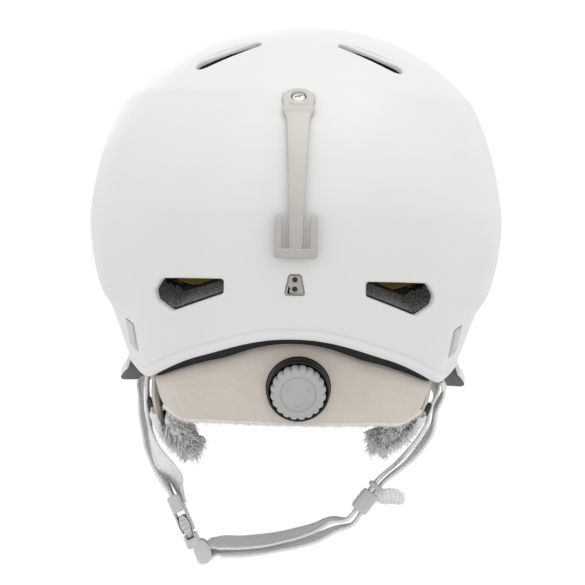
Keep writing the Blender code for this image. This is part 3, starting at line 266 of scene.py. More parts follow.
def cut(target, cutters, union=False):
    """Cuts the tools from the target, or joins them to it, and removes the tools."""
    group = bpy.data.collections.new("tools")
    for tool in cutters:
        group.objects.link(tool)
    step = target.modifiers.new("Cut", "BOOLEAN")
    step.operation = "UNION" if union else "DIFFERENCE"
    step.solver = "EXACT"
    step.operand_type = "COLLECTION"
    step.collection = group
    apply_modifiers(target)
    for tool in cutters:
        bpy.data.objects.remove(tool, do_unlink=True)
    bpy.data.collections.remove(group)
    target.data.shade_smooth()
    target.data.set_sharp_from_angle(angle=math.radians(38))
    return target


def bevel(obj, width, segments=2, angle=35):
    step = obj.modifiers.new("Rounded", "BEVEL")
    step.width = width
    step.segments = segments
    step.limit_method = "ANGLE"
    step.angle_limit = math.radians(angle)
    apply_modifiers(obj)
    obj.data.shade_smooth()
    obj.data.set_sharp_from_angle(angle=math.radians(50))
    return obj


def loft(name, rings, mats=(), caps=True, closed=False, sharp=38, uvs=None):
    """A solid through matching closed outlines, capped at its ends unless it closes on itself."""
    rings = [np.asarray(r, float) for r in rings]
    count = len(rings[0])
    points = np.concatenate(rings)
    faces = grid_faces(len(rings), count, wrap_cols=True)
    if closed:
        last = (len(rings) - 1) * count
        faces += [[last + c, last + (c + 1) % count, (c + 1) % count, c] for c in range(count)]
    elif caps:
        faces.append(list(range(count))[::-1])
        faces.append(list(range(len(points) - count, len(points))))
    return new_mesh(name, points, faces, mats, uvs=uvs, sharp=sharp)


def placed(place, points):
    return [tuple(place @ Vector(p)) for p in points]


def turned(name, outline, place, mats=(), segments=48, sharp=38):
    """A solid of revolution about local Z from (radius, height) points, a closed outline."""
    angles = np.linspace(0, 2 * math.pi, segments, endpoint=False)
    points, rings = [], []
    for radius, height in outline:
        if radius == 0:
            rings.append([len(points)])
            points.append((0.0, 0.0, height))
        else:
            rings.append(list(range(len(points), len(points) + segments)))
            points.extend((radius * math.cos(a), radius * math.sin(a), height) for a in angles)
    faces = []
    for a, b in zip(rings, rings[1:] + rings[:1]):
        if len(a) == 1 and len(b) == 1:
            continue
        for i in range(segments):
            j = (i + 1) % segments
            corners = [a[i % len(a)], a[j % len(a)], b[j % len(b)], b[i % len(b)]]
            faces.append([v for k, v in enumerate(corners) if v not in corners[:k]])
    return new_mesh(name, placed(place, points), faces, mats, sharp=sharp)


def box(name, low, high, place, mats=(), rounded=0.0, segments=3):
    (x0, y0, z0), (x1, y1, z1) = low, high
    ring = ((x0, y0), (x1, y0), (x1, y1), (x0, y1))
    rings = [placed(place, [(x, y, z) for x, y in ring]) for z in (z0, z1)]
    made = loft(name, rings, mats)
    return bevel(made, rounded, segments) if rounded > 0 else made


def frame_at(origin, normal, up=Vector((0, 0, 1))):
    """A placement whose local Z is the normal and whose local Y leans towards up."""
    z = Vector(normal).normalized()
    x = up.cross(z).normalized()
    y = z.cross(x)
    return Matrix.Translation(origin) @ Matrix((x, y, z)).transposed().to_4x4()


def route_lengths(points):
    steps = np.linalg.norm(np.diff(np.array(points, float), axis=0), axis=1)
    return np.concatenate([[0.0], np.cumsum(steps)])


def smooth_path(points, count, at=None):
    """count points along a smooth curve through the given ones, which lie at the distances in at."""
    points = np.array(points, float)
    at = route_lengths(points) if at is None else at
    spans = np.diff(at)[:, None]
    rises = np.diff(points, axis=0) / spans
    slopes = np.vstack([rises[:1],
                        (rises[:-1] * spans[1:] + rises[1:] * spans[:-1]) / (spans[1:] + spans[:-1]),
                        rises[-1:]])
    made = []
    for u in np.linspace(at[0], at[-1], count):
        k = int(np.clip(np.searchsorted(at, u, side="right") - 1, 0, len(at) - 2))
        h = at[k + 1] - at[k]
        t = (u - at[k]) / h
        made.append(points[k] * (1 + 2 * t) * (1 - t) ** 2 + h * slopes[k] * t * (1 - t) ** 2
                    + points[k + 1] * t * t * (3 - 2 * t) + h * slopes[k + 1] * t * t * (t - 1))
    return np.array(made)


def tube(name, path, radius, mats=(), segments=8, closed=False, flatten=1.0):
    """A round cord or piping along a path, with rounded ends."""
    path = np.asarray(path, float)
    along = np.roll(path, -1, axis=0) - np.roll(path, 1, axis=0) if closed else np.gradient(path, axis=0)
    along /= np.maximum(np.linalg.norm(along, axis=1, keepdims=True), 1e-9)
    side = np.cross(along[0], (0.3, 0.2, 1.0))
    rings = []
    radii = np.full(len(path), radius)
    if not closed:
        radii[0] = radii[-1] = radius * 0.45
    for p, t, r in zip(path, along, radii):
        side = side - t * np.dot(side, t)
        side /= max(np.linalg.norm(side), 1e-9)
        up = np.cross(t, side)
        rings.append([p + r * (side * math.cos(a) + up * flatten * math.sin(a))
                      for a in np.linspace(0, 2 * math.pi, segments, endpoint=False)])
    return loft(name, rings, mats, closed=closed)


def show(obj, body, slot, *stands_for):
    """Hands a finished piece to the frame."""
    if body:
        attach(obj, body)
    if stands_for:
        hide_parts(*stands_for)
    return obj


# ------------------------------------------------------------------ materials
class Nodes:
    """A small builder for one material's node tree."""

    def __init__(self, name, colour, roughness, metallic=0.0, **sockets):
        self.material = bpy.data.materials.new(name)
        self.material.use_nodes = True
        self.tree = self.material.node_tree
        self.shader = self.tree.nodes["Principled BSDF"]
        self.colour = (*colour, 1.0)
        self.shader.inputs["Base Color"].default_value = self.colour
        self.shader.inputs["Roughness"].default_value = roughness
        self.shader.inputs["Metallic"].default_value = metallic
        for socket, value in sockets.items():
            self.shader.inputs[socket.replace("_", " ")].default_value = value
        self.height = None
        self.coordinates = self.tree.nodes.new("ShaderNodeTexCoord")

    def link(self, a, b):
        self.tree.links.new(a, b)

    def texture(self, kind, scale, space="Object", **settings):
        node = self.tree.nodes.new(f"ShaderNodeTex{kind}")
        self.link(self.coordinates.outputs[space], node.inputs["Vector"])
        node.inputs["Scale"].default_value = scale
        for key, value in settings.items():
            if key in node.inputs:
                node.inputs[key].default_value = value
            else:
                setattr(node, key, value)
        return node

    def maths(self, operation, a, b=0.0, clamp=False):
        node = self.tree.nodes.new("ShaderNodeMath")
        node.operation = operation
        node.use_clamp = clamp
        for slot, value in zip(node.inputs, (a, b)):
            if isinstance(value, (int, float)):
                slot.default_value = value
            else:
                self.link(value, slot)
        return node.outputs[0]

    def spread(self, value, low, high, out_low=0.0, out_high=1.0):
        node = self.tree.nodes.new("ShaderNodeMapRange")
        self.link(value, node.inputs["Value"])
        for socket, number in (("From Min", low), ("From Max", high), ("To Min", out_low),
                               ("To Max", out_high)):
            node.inputs[socket].default_value = number
        return node.outputs["Result"]

    def tint(self, factor, colour):
        """Mixes another colour in where factor is high."""
        node = self.tree.nodes.new("ShaderNodeMix")
        node.data_type = "RGBA"
        self.link(factor, node.inputs[0])
        base = self.shader.inputs["Base Color"]
        if base.is_linked:
            self.link(base.links[0].from_socket, node.inputs[6])
        else:
            node.inputs[6].default_value = self.colour
        node.inputs[7].default_value = (*colour, 1.0)
        self.link(node.outputs[2], base)
        return self

    def rough(self, factor, low, high):
        self.link(self.spread(factor, 0.3, 0.7, low, high), self.shader.inputs["Roughness"])
        return self

    def bump(self, height, depth, strength=1.0):
        """Adds surface relief; depth is in metres for a height of 1."""
        node = self.tree.nodes.new("ShaderNodeBump")
        node.inputs["Distance"].default_value = depth
        node.inputs["Strength"].default_value = strength
        self.link(height, node.inputs["Height"])
        if self.height is not None:
            self.link(self.height, node.inputs["Normal"])
        self.height = node.outputs["Normal"]
        self.link(self.height, self.shader.inputs["Normal"])
        return self

    def painted_shade_below(self, top, bottom, colour):
        """Paints shade: turns to another tone from one height down to another."""
        split = self.tree.nodes.new("ShaderNodeSeparateXYZ")
        self.link(self.coordinates.outputs["Object"], split.inputs[0])
        return self.tint(self.spread(split.outputs[2], top, bottom), colour)

    def uv(self):
        split = self.tree.nodes.new("ShaderNodeSeparateXYZ")
        self.link(self.coordinates.outputs["UV"], split.inputs[0])
        return split.outputs[0], split.outputs[1]


def moulded(name, colour, roughness, grain=0.00003, scale=2500, blotch=0.04, **sockets):
    """Moulded plastic: a fine grain, cloudy gloss and a little dust in the tone."""
    made = Nodes(name, colour, roughness, **sockets)
    cloud = made.texture("Noise", 22, Detail=4.0).outputs["Fac"]
    fine = made.texture("Noise", scale, Detail=2.0).outputs["Fac"]
    made.tint(made.spread(cloud, 0.35, 0.75, 0.0, 1.0), tuple(c * (1 - blotch) for c in colour))
    made.rough(cloud, roughness - 0.05, roughness + 0.06)
    made.bump(fine, grain)
    return made


def woven(name, colour, pitch, depth, shade=0.62, sheen=0.25, roughness=0.9):
    """A plain weave on the UV grid, in metres."""
    made = Nodes(name, colour, roughness, Sheen_Weight=sheen, Sheen_Roughness=0.5)
    u, v = made.uv()
    warp = made.maths("SINE", made.maths("MULTIPLY", u, 2 * math.pi / pitch))
    weft = made.maths("SINE", made.maths("MULTIPLY", v, 2 * math.pi / pitch))
    weave = made.spread(made.maths("MULTIPLY", warp, weft), -1, 1)
    slub = made.texture("Noise", 900, Detail=2.0).outputs["Fac"]
    cloud = made.texture("Noise", 35, Detail=3.0).outputs["Fac"]
    darker = tuple(c * shade for c in colour)
    made.tint(made.spread(weave, 0.0, 0.55, 0.55, 0.0), darker)
    made.tint(made.spread(slub, 0.45, 0.8, 0.0, 0.35), tuple(min(c * 1.2, 1) for c in colour))
    made.tint(made.spread(cloud, 0.4, 0.8, 0.0, 0.35), darker)
    made.bump(weave, depth)
    made.bump(slub, depth * 0.7)
    return made


def webbing_finish(name, colour):
    """Narrow woven webbing: ribs across, a herringbone of threads, denser selvedges."""
    made = Nodes(name, colour, 0.78, Sheen_Weight=0.2)
    u, v = made.uv()
    rib = made.maths("SINE", made.maths("MULTIPLY", v, 2 * math.pi / 0.0016))
    leaning = made.maths("ADD", made.maths("MULTIPLY", made.maths("ABSOLUTE", u), 2 * math.pi / 0.0011),
                         made.maths("MULTIPLY", v, 2 * math.pi / 0.0008))
    thread = made.maths("SINE", leaning)
    weave = made.spread(made.maths("ADD", rib, made.maths("MULTIPLY", thread, 0.8)), -1.8, 1.8)
    fuzz = made.texture("Noise", 1400, Detail=2.0).outputs["Fac"]
    grime = made.texture("Noise", 60, Detail=3.0).outputs["Fac"]
    made.tint(made.spread(weave, 0.0, 0.5, 0.75, 0.0), tuple(c * 0.62 for c in colour))
    made.tint(made.spread(grime, 0.45, 0.8, 0.0, 0.2), tuple(c * 0.88 for c in colour))
    made.bump(weave, 0.00022)
    made.bump(fuzz, 0.00006)
    return made


def beads(name, colour, size, depth):
    """Expanded polystyrene: pressed round beads with dark joints."""
    made = Nodes(name, colour, 0.72)
    cells = made.texture("Voronoi", 1 / size, feature="F1")
    edge = made.texture("Voronoi", 1 / size, feature="DISTANCE_TO_EDGE")
    joint = made.spread(edge.outputs["Distance"], 0.0, 0.16, 1.0, 0.0)
    made.tint(made.spread(cells.outputs["Distance"], 0.0, 0.6, 0.9, 0.0), tuple(c * 2.2 for c in colour))
    made.tint(joint, tuple(c * 0.25 for c in colour))
    made.bump(made.spread(edge.outputs["Distance"], 0.0, 0.25), depth)
    made.bump(made.texture("Noise", 900, Detail=2.0).outputs["Fac"], depth * 0.2)
    return made


def metal(name, colour, roughness):
    made = Nodes(name, colour, roughness, metallic=1.0)
    scratch = made.texture("Noise", 1800, Detail=3.0).outputs["Fac"]
    made.rough(scratch, max(roughness - 0.06, 0.03), roughness + 0.08)
    made.bump(scratch, 0.000012)
    made.tint(made.spread(made.texture("Noise", 90).outputs["Fac"], 0.5, 0.8, 0.0, 0.5),
              tuple(c * 0.85 for c in colour))
    return made


def pile(name, colour):
    """Long-pile fleece: strands lit and shaded along their length."""
    made = Nodes(name, colour, 0.95, Sheen_Weight=0.5, Sheen_Roughness=0.4)
    clump = made.texture("Noise", 160, Detail=4.0, Distortion=0.8).outputs["Fac"]
    strand = made.texture("Noise", 2600, Detail=1.0).outputs["Fac"]
    made.tint(made.spread(clump, 0.4, 0.65, 0.0, 0.5), tuple(c * 0.90 for c in colour))
    made.tint(made.spread(strand, 0.4, 0.8, 0.0, 0.5), tuple(min(c * 1.25, 1) for c in colour))
    made.bump(clump, 0.0008)
    made.bump(strand, 0.0002)
    return made


SHELL = moulded("shell_white", (0.715, 0.715, 0.71), 0.42, grain=0.000035, scale=1900, blotch=0.025).material
# painted shade: the brim's underside is coloured near-black for the shadow under the peak
BRIM_PAINTED_SHADE = moulded("brim_underside_painted_shade", (0.055, 0.055, 0.056), 0.62, blotch=0.2).material
FOAM = beads("foam_beads", (0.022, 0.022, 0.023), 0.0030, 0.0005).material
FOAM_PALE = beads("foam_pale", (0.34, 0.34, 0.345), 0.0012, 0.0002).material
SLIP = moulded("slip_film", (0.30, 0.20, 0.04), 0.34, blotch=0.12).material
LINING = woven("lining_weave", (0.66, 0.60, 0.535), 0.0009, 0.00010, shade=0.72).material
LINING_SOFT = woven("lining_brushed", (0.74, 0.72, 0.70), 0.0007, 0.00006, shade=0.85, sheen=0.5).material
ELASTIC = woven("elastic_hem", (0.84, 0.83, 0.815), 0.0012, 0.00018, shade=0.72).material
FLEECE = pile("fleece_pile", (0.95, 0.95, 0.945)).material
clip_finish = moulded("clip_elastomer", (0.60, 0.565, 0.52), 0.47, grain=0.00005, scale=1500, blotch=0.10)
# painted shade: the clip darkens from its lit head down to its shaded foot
clip_finish.painted_shade_below(0.060, 0.002, (0.43, 0.41, 0.385))
CLIP = clip_finish.material
CHROME = metal("screw_chrome", (0.78, 0.78, 0.78), 0.14).material
PLATE = metal("plate_satin", (0.42, 0.40, 0.38), 0.36).material
BADGE = moulded("badge_satin", (0.50, 0.50, 0.51), 0.30, blotch=0.08, metallic=0.35).material
KNOB = moulded("knob_matte", (0.43, 0.43, 0.425), 0.55, grain=0.00006, scale=1300, blotch=0.08).material
BLACK = moulded("black_plastic", (0.016, 0.016, 0.017), 0.42, blotch=0.3).material
RUBBER = moulded("rubber_black", (0.02, 0.02, 0.02), 0.75, grain=0.0001, scale=900, blotch=0.3).material
BUCKLE = moulded("buckle_satin", (0.60, 0.60, 0.595), 0.40, grain=0.00003, blotch=0.08).material
RUBBER_GREY = moulded("rubber_grey", (0.56, 0.56, 0.555), 0.66, blotch=0.1).material
WEBBING = webbing_finish("strap_webbing", (0.90, 0.90, 0.895)).material
THREAD = moulded("stitch_thread", (0.93, 0.93, 0.925), 0.85, blotch=0.2).material
# partly the black foam seen under the rear hem, partly painted shade of the gap above the neck roll
NAPE_FOAM_AND_SHADE = woven("nape_foam_and_painted_shade", (0.030, 0.030, 0.032), 0.0011, 0.00010, sheen=0.1).material
PIPING = woven("piping_cord", (0.13, 0.13, 0.135), 0.0006, 0.0001).material
SNAP = moulded("snap_dark", (0.035, 0.035, 0.036), 0.35, blotch=0.3).material


# ------------------------------------------------------------------ shell and its openings
def rounded_outline(corners, radius, steps=6, straight=3):
    """A closed outline with its corners rounded, as evenly spread points."""
    corners = [np.array(c, float) for c in corners]
    made = []
    count = len(corners)
    for i, here in enumerate(corners):
        before, after = corners[i - 1], corners[(i + 1) % count]
        back, on = (before - here), (after - here)
        reach = min(radius, 0.42 * np.linalg.norm(back), 0.42 * np.linalg.norm(on))
        a = here + back / np.linalg.norm(back) * reach
        b = here + on / np.linalg.norm(on) * reach
        for t in np.linspace(0, 1, steps):
            made.append(a * (1 - t) ** 2 + here * 2 * t * (1 - t) + b * t * t)
        onward = after + (here - after) / np.linalg.norm(on) * min(radius, 0.42 * np.linalg.norm(on))
        for t in np.linspace(0, 1, straight + 2)[1:-1]:
            made.append(b * (1 - t) + onward * t)
    return np.array(made)


def grown(outline, amount):
    """The outline moved outwards by an amount."""
    along = np.roll(outline, -1, axis=0) - np.roll(outline, 1, axis=0)
    along /= np.linalg.norm(along, axis=1, keepdims=True)
    area = np.sum(outline[:, 0] * np.roll(outline[:, 1], -1) - outline[:, 1] * np.roll(outline[:, 0], -1))
    out = np.stack([along[:, 1], -along[:, 0]], axis=1) * (1 if area > 0 else -1)
    return outline + out * amount


# depth below the skin and how much wider the opening is there: a rolled edge
ROLLED_EDGE = ((-0.0030, 0.0030), (-0.0007, 0.0015), (0.0, 0.0010), (0.00025, 0.00055), (0.0006, 0.00022),
               (0.0011, 0.00004), (0.0018, 0.0), (0.0052, 0.0))


def skin_cutter(name, view, outline, edge=ROLLED_EDGE, side=1):
    rings = []
    for depth, grow in edge:
        shape = grown(outline, grow)
        ring = on_skin(view, shape[:, 0], shape[:, 1], depth)
        ring[:, 0] *= side
        rings.append(ring)
    return loft(name, rings)


def vent_outline(view):
    """The rear or side vent's outline with its corners rounded."""
    corners, radius = {"rear": (REAR_VENT, REAR_VENT_ROUND), "side": (SIDE_VENT, SIDE_VENT_ROUND)}[view]
    return rounded_outline(corners, radius)


def drill(radius, top, bottom):
    """Profile of a plain round hole, for turned."""
    return (0, top), (radius, top), (radius, bottom), (0, bottom)


def slot_outline(vent, side, steps=10):
    """A long drop-shaped slot with round ends, and the placement on the crown it lies on."""
    outer = Vector((side * vent["outer"][0], *vent["outer"][1:]))
    inner = Vector((side * vent["inner"][0], *vent["inner"][1:]))
    middle = (outer + inner) / 2
    along = (inner - outer).normalized()
    outwards = Vector((middle.x, middle.y - PLAN_CENTRE_Y, middle.z * 1.1)).normalized()
    across = outwards.cross(along).normalized()
    normal = along.cross(across)
    place = Matrix.Translation(middle) @ Matrix((along, across, normal)).transposed().to_4x4()
    half = (inner - outer).length / 2
    outline = []
    for centre, radius, start in ((half, vent["widths"][1] / 2, -90), (-half, vent["widths"][0] / 2, 90)):
        for angle in np.linspace(start, start + 180, steps):
            a = math.radians(angle)
            outline.append((centre - math.copysign(radius, centre) + radius * math.cos(a),
                            radius * math.sin(a)))
    return np.array(outline), place


def above_slot(outline, place):
    """Height of the skin over the slot's plane at each outline point."""
    inverse = np.array(place.inverted())
    theta = np.full(len(outline), math.atan2(place.translation.y - PLAN_CENTRE_Y, place.translation.x))
    level = np.full(len(outline), 0.8)
    step = 1e-4

    def seen(t, l):
        p = bare_skin(t, l)
        return p @ inverse[:3, :3].T + inverse[:3, 3]

    for _ in range(14):
        here = seen(theta, level)
        d_theta = (seen(theta + step, level) - here)[:, :2] / step
        d_level = (seen(theta, level + step) - here)[:, :2] / step
        miss = outline - here[:, :2]
        det = d_theta[:, 0] * d_level[:, 1] - d_theta[:, 1] * d_level[:, 0]
        theta = theta + np.clip((miss[:, 0] * d_level[:, 1] - miss[:, 1] * d_level[:, 0]) / det, -0.2, 0.2)
        level = np.clip(level + np.clip((d_theta[:, 0] * miss[:, 1] - d_theta[:, 1] * miss[:, 0]) / det,
                                        -0.2, 0.2),
                        0.05, 2.0)
    return seen(theta, level)[:, 2]


def slot_cutter(name, vent, side):
    outline, place = slot_outline(vent, side)
    rings = []
    for depth, grow in ROLLED_EDGE:
        shape = grown(outline, grow * 1.25)
        height = above_slot(shape, place)
        rings.append(placed(place, [(x, y, h - depth) for (x, y), h in zip(shape, height)]))
    return loft(name, rings)


def clip_frame():
    point, normal = rear_point(0.0800)
    tilted = Vector((0, normal.y * math.cos(0.14) - normal.z * math.sin(0.14),
                     normal.z * math.cos(0.14) + normal.y * math.sin(0.14)))
    return frame_at(point, tilted)


def plate_frame():
    return frame_at(*rear_point(-0.0137))


def badge_frame(side):
    theta = math.radians(25.5)
    level = level_at(np.array(theta), -0.0372)
    near, far = skin(theta, level, 0.0), skin(theta, level, -0.01)
    point = Vector((side * near[0], *near[1:]))
    return frame_at(point, Vector((side * (far[0] - near[0]), *(far[1:] - near[1:]))))


BADGE_CORNERS = ((-0.0105, 0.0052), (0.0020, 0.0092), (0.0105, -0.0052), (-0.0020, -0.0092))
PLATE_CORNERS = ((-0.0046, -0.0048), (0.0046, -0.0048), (0.0026, 0.0048), (-0.0026, 0.0048))


def badge_outline(side, scale, radius=0.0012):
    corners = [(-side * x * scale, y * scale) for x, y in BADGE_CORNERS]
    return rounded_outline(corners, radius)


def flat_cutter(name, place, outline, low, high, flare=0.0003):
    rings = []
    for z, grow in ((low, 0.0), (-flare * 2, 0.0), (0.0, flare), (high, flare * 2)):
        rings.append(placed(place, [(x, y, z) for x, y in grown(outline, grow)]))
    return loft(name, rings)


SHELL_COLUMNS = 256
RECESS_DEPTH = 0.0012                # of the badge and plate recesses and the clip's cup


def spread_angles(count):
    """Angles round the plan, evened out where the plan's form crowds them."""
    theta = np.linspace(0, 2 * math.pi, 4001)
    points = bare_skin(theta, np.full(theta.shape, 2.0))
    length = np.concatenate([[0], np.cumsum(np.linalg.norm(np.diff(points[:, :2], axis=0), axis=1))])
    return np.interp(np.linspace(0, length[-1], count, endpoint=False), length, theta)


def shell_grid():
    """Rows of the shell from the crown, down the outside, round the rolled hem and back up the inside."""
    theta = spread_angles(SHELL_COLUMNS)
    rows = []
    for level in np.concatenate([np.linspace(0, 1, 34)[1:], 1 + np.linspace(0, 1, 26)[1:]]):
        rows.append(skin(theta, np.full(theta.shape, level), 0.0))
    last = hem_level(theta)
    bead_top = 0.0062 / LOWER_UNIT
    for part in np.linspace(0, 1, 26)[1:]:
        rows.append(skin(theta, 2 + (last - bead_top - 2) * part, 0.0))
    # height above the hem and depth below the skin, round the rolled bead
    bead = ((0.0056, 0.00005), (0.0051, 0.00040), (0.0047, 0.00050), (0.0043, 0.00025), (0.0038, -0.00025),
            (0.0031, -0.00062), (0.0023, -0.00078), (0.0015, -0.00070), (0.0008, -0.00040), (0.0002, 0.00010),
            (-0.0001, 0.00080), (-0.0001, 0.0017), (0.0003, 0.0024), (0.0010, SHELL_WALL))
    for height, depth in bead:
        rows.append(skin(theta, last - height / LOWER_UNIT, depth))
    for part in np.linspace(1, 0, 10)[1:]:
        rows.append(skin(theta, 2 + (last - 2) * part, SHELL_WALL))
    for level in np.linspace(2, 0, 18)[1:-1]:
        rows.append(skin(theta, np.full(theta.shape, level), SHELL_WALL))
    return rows


def cap(name, rows, columns, outer_depth, inner_depth, mat):
    """A closed cap through rows that run down the outside and back up the inside."""
    crown = [skin(np.zeros(1), np.zeros(1), depth) for depth in (outer_depth, inner_depth)]
    points = np.concatenate([crown[0], *rows, crown[1]])
    tail, first = len(points) - 1, 1 + (len(rows) - 1) * columns
    faces = [[0, 1 + c, 1 + (c + 1) % columns] for c in range(columns)]
    faces += grid_faces(len(rows), columns, wrap_cols=True, start=1)
    faces += [[tail, first + (c + 1) % columns, first + c] for c in range(columns)]
    return new_mesh(name, points, faces, [mat])


def make_shell():
    shell = cap("shell", shell_grid(), SHELL_COLUMNS, 0.0, SHELL_WALL, SHELL)
    tools = []
    for side, label in ((1, "l"), (-1, "r")):
        tools += [skin_cutter(f"t_rear_{label}", "rear", vent_outline("rear"), side=side),
                  skin_cutter(f"t_side_{label}", "side", vent_outline("side"), side=side),
                  slot_cutter(f"t_top_{label}", TOP_VENT, side),
                  slot_cutter(f"t_front_{label}", FRONT_VENT, side),
                  flat_cutter(f"t_badge_{label}", badge_frame(side), badge_outline(side, 1.0),
                              -RECESS_DEPTH, 0.006)]
    place = clip_frame()
    cup = ((0, 0.012), (0.0095, 0.012), (0.0086, 0.0006), (0.0082, 0.0), (0.0080, -RECESS_DEPTH),
           (0, -RECESS_DEPTH))
    plate = grown(rounded_outline(PLATE_CORNERS, 0.0008), 0.0004)
    tools += [turned("t_cup", cup, place, segments=64),
              turned("t_bore", drill(0.0026, 0.010, -0.012), place, segments=32),
              flat_cutter("t_plate", plate_frame(), plate, -RECESS_DEPTH, 0.004)]
    cut(shell, tools)
    return show(shell, ROOT, "shell_white", "outer_shell")


def make_liner(name, outer_depth, inner_depth, columns, hem_lift, tools, mat, hem_share=1.0, rounding=0.0012):
    """A cap of foam or film inside the shell."""
    theta = spread_angles(columns)
    rows = []
    levels = np.concatenate([np.linspace(0, 1, 18)[1:], 1 + np.linspace(0, 1, 12)[1:]])
    last = hem_level(theta, hem_lift)
    parts = np.linspace(0, hem_share, 14)[1:]
    for level in levels:
        rows.append(skin(theta, np.full(theta.shape, level), outer_depth))
    for part in parts:
        rows.append(skin(theta, 2 + (last - 2) * part, outer_depth))
    for share in (0.18, 0.5, 0.82):
        down = math.sin(math.pi * share) * rounding / LOWER_UNIT
        rows.append(skin(theta, 2 + (last - 2) * hem_share + down,
                         outer_depth + (inner_depth - outer_depth) * share))
    for part in parts[::-1]:
        rows.append(skin(theta, 2 + (last - 2) * part, inner_depth))
    for level in levels[::-1]:
        rows.append(skin(theta, np.full(theta.shape, level), inner_depth))
    return cut(cap(name, rows, columns, outer_depth, inner_depth, mat), tools)


def channel(name, view, side, rise, shift=0.0):
    """A vent channel through the foam: it follows the skin over its opening and climbs as it goes in."""
    outline = vent_outline(view)
    skin_at = on_skin(view, outline[:, 0], outline[:, 1], 0.0)[:, 1 if view == "rear" else 0]
    rings = []
    for depth in np.linspace(-0.012, 0.036, 25):
        share = (max(depth, 0) / 0.026) ** 1.3
        deep, first, height = skin_at - depth, outline[:, 0] - shift * share, outline[:, 1] + rise * share
        ring = (side * first, deep, height) if view == "rear" else (side * deep, first, height)
        rings.append(np.stack(ring, axis=-1))
    return loft(name, rings)


def slot_channel(name, vent, side):
    outline, place = slot_outline(vent, side)
    return loft(name, [placed(place, [(x * s, y * s, z) for x, y in outline])
                       for z, s in ((0.020, 1.0), (-0.042, 0.9))])


def channel_tools(label):
    tools = []
    for side in (1, -1):
        tools += [channel(f"{label}_rear_{side}", "rear", side, 0.0135, 0.006),
                  channel(f"{label}_side_{side}", "side", side, 0.0045)]
        for vent_name, vent in (("top", TOP_VENT), ("front", FRONT_VENT)):
            tools.append(slot_channel(f"{label}_{vent_name}_{side}", vent, side))
    return tools


PALE_DEPTH = 0.0066                  # where the rear channels turn to a paler, finer foam
ANCHOR_POCKETS = ((0.0738, -0.0400, -0.0455), (0.0758, 0.0330, -0.0470))
AIR_CHANNELS = (-0.045, -0.015, 0.015, 0.045)


def make_foam():
    tools = channel_tools("f")
    place = clip_frame()
    tools.append(turned("f_pocket", drill(0.0049, 0.0, -0.0112), place))
    for side in (1, -1):
        for x, y, z in ANCHOR_POCKETS:
            tools.append(box(f"f_anchor_{side}_{y}", (-0.0032, -0.0091, -0.030), (0.0032, 0.0091, 0.0044),
                             Matrix.Translation((side * x, y, z))))
    # shallow air channels along the inside, front to rear, between the pads
    for x in AIR_CHANNELS:
        path = []
        for angle in np.linspace(-60, 62, 26):
            a = math.radians(angle)
            path.append((x, 0.008 + 0.114 * math.sin(a),
                         0.004 + 0.1035 * math.cos(a) * (1 - 1.9 * abs(x))))
        tools.append(tube(f"f_air_{x}", path, 0.0045, segments=14))
    foam = make_liner("foam", FOAM_OUTER + 0.0004, FOAM_INNER, 160, 0.0015, tools, FOAM)
    mesh = foam.data
    mesh.materials.append(FOAM_PALE)
    centre = np.zeros(len(mesh.polygons) * 3)
    mesh.polygons.foreach_get("center", centre)
    x, y, z = centre.reshape(-1, 3).T
    near = (np.abs(x) > 0.030) & (np.abs(x) < 0.071) & (y > 0.080) & (z > -0.030) & (z < 0.010)
    deep = np.zeros(len(x), bool)
    outer = on_skin("rear", np.abs(x[near]), z[near], 0.0)[:, 1]
    deep[near] = y[near] < outer - PALE_DEPTH
    mesh.polygons.foreach_set("material_index", deep.astype(np.int32))
    return show(foam, ROOT, "foam_black", "foam_liner")


def make_slip():
    slip = make_liner("slip", SLIP_OUTER, SLIP_INNER, 128, 0.0, channel_tools("s"), SLIP, hem_share=0.55,
                      rounding=0.0002)
    return show(slip, ROOT, "slip_yellow", "slip_liner")


def make_brim():
    """A short peak with a soft edge; its underside is painted near-black as shade."""
    columns, span = 131, 82
    theta = np.radians(np.linspace(-90 - span, -90 + span, columns))
    off = np.abs(np.degrees(theta) + 90) / span
    taper = np.sqrt(np.clip(1 - ((off - 0.80) / 0.205).clip(0) ** 2, 0.02, 1))
    reach = (0.0088 + 0.0132 * (1 - off ** 1.6)) * taper
    body = 0.0026 * off[:, None] ** 4             # the ends are thicker
    lower = curve_through(HEM, side_angle(theta)) + 0.0055
    root = skin(theta, level_at(theta, lower), -0.0006)
    outward = (root - np.array([0, PLAN_CENTRE_Y, 0])) * np.array([1.0, 1.0, 0.0])
    outward /= np.linalg.norm(outward, axis=-1, keepdims=True)
    drop = (0.014 - 0.001 * off) * (0.3 + 0.7 * taper)
    spoke = outward * reach[:, None] - np.array([0, 0, 1.0]) * drop[:, None]
    up = np.array([0, 0, 1.0])
    rings = []
    for t in np.linspace(0, 0.97, 12):
        rings.append(root + spoke * t - up * 0.0036 * t * (1 - t))
    for out, fall, more in ((0.975, 0.0003, 0.05), (0.995, 0.0008, 0.22), (1.0, 0.0014, 0.5),
                            (0.995, 0.0020, 0.8), (0.975, 0.0025, 0.95)):
        rings.append(root + spoke * out - up * (fall + more * body))
    for t in np.linspace(0.96, 0, 12):
        rings.append(root + spoke * t - up * (0.0036 * t * (1 - t) + 0.0042 - 0.0016 * t + body))
    count = len(rings)
    across = np.array(rings).transpose(1, 0, 2)          # one closed section per column
    points = across.reshape(-1, 3)
    faces, face_mats = [], []
    for c in range(columns - 1):
        for r in range(count):
            n = (r + 1) % count
            faces.append([c * count + r, (c + 1) * count + r, (c + 1) * count + n, c * count + n])
            # the underside rings take the near-black painted shade
            face_mats.append(1 if 16 <= r < count - 1 else 0)
    faces += [list(range(count)), list(range((columns - 1) * count, columns * count))[::-1]]
    face_mats += [0, 0]
    brim = new_mesh("brim_peak", points, faces, [SHELL, BRIM_PAINTED_SHADE], face_mats)
    return show(brim, ROOT, "shell_white", "brim")


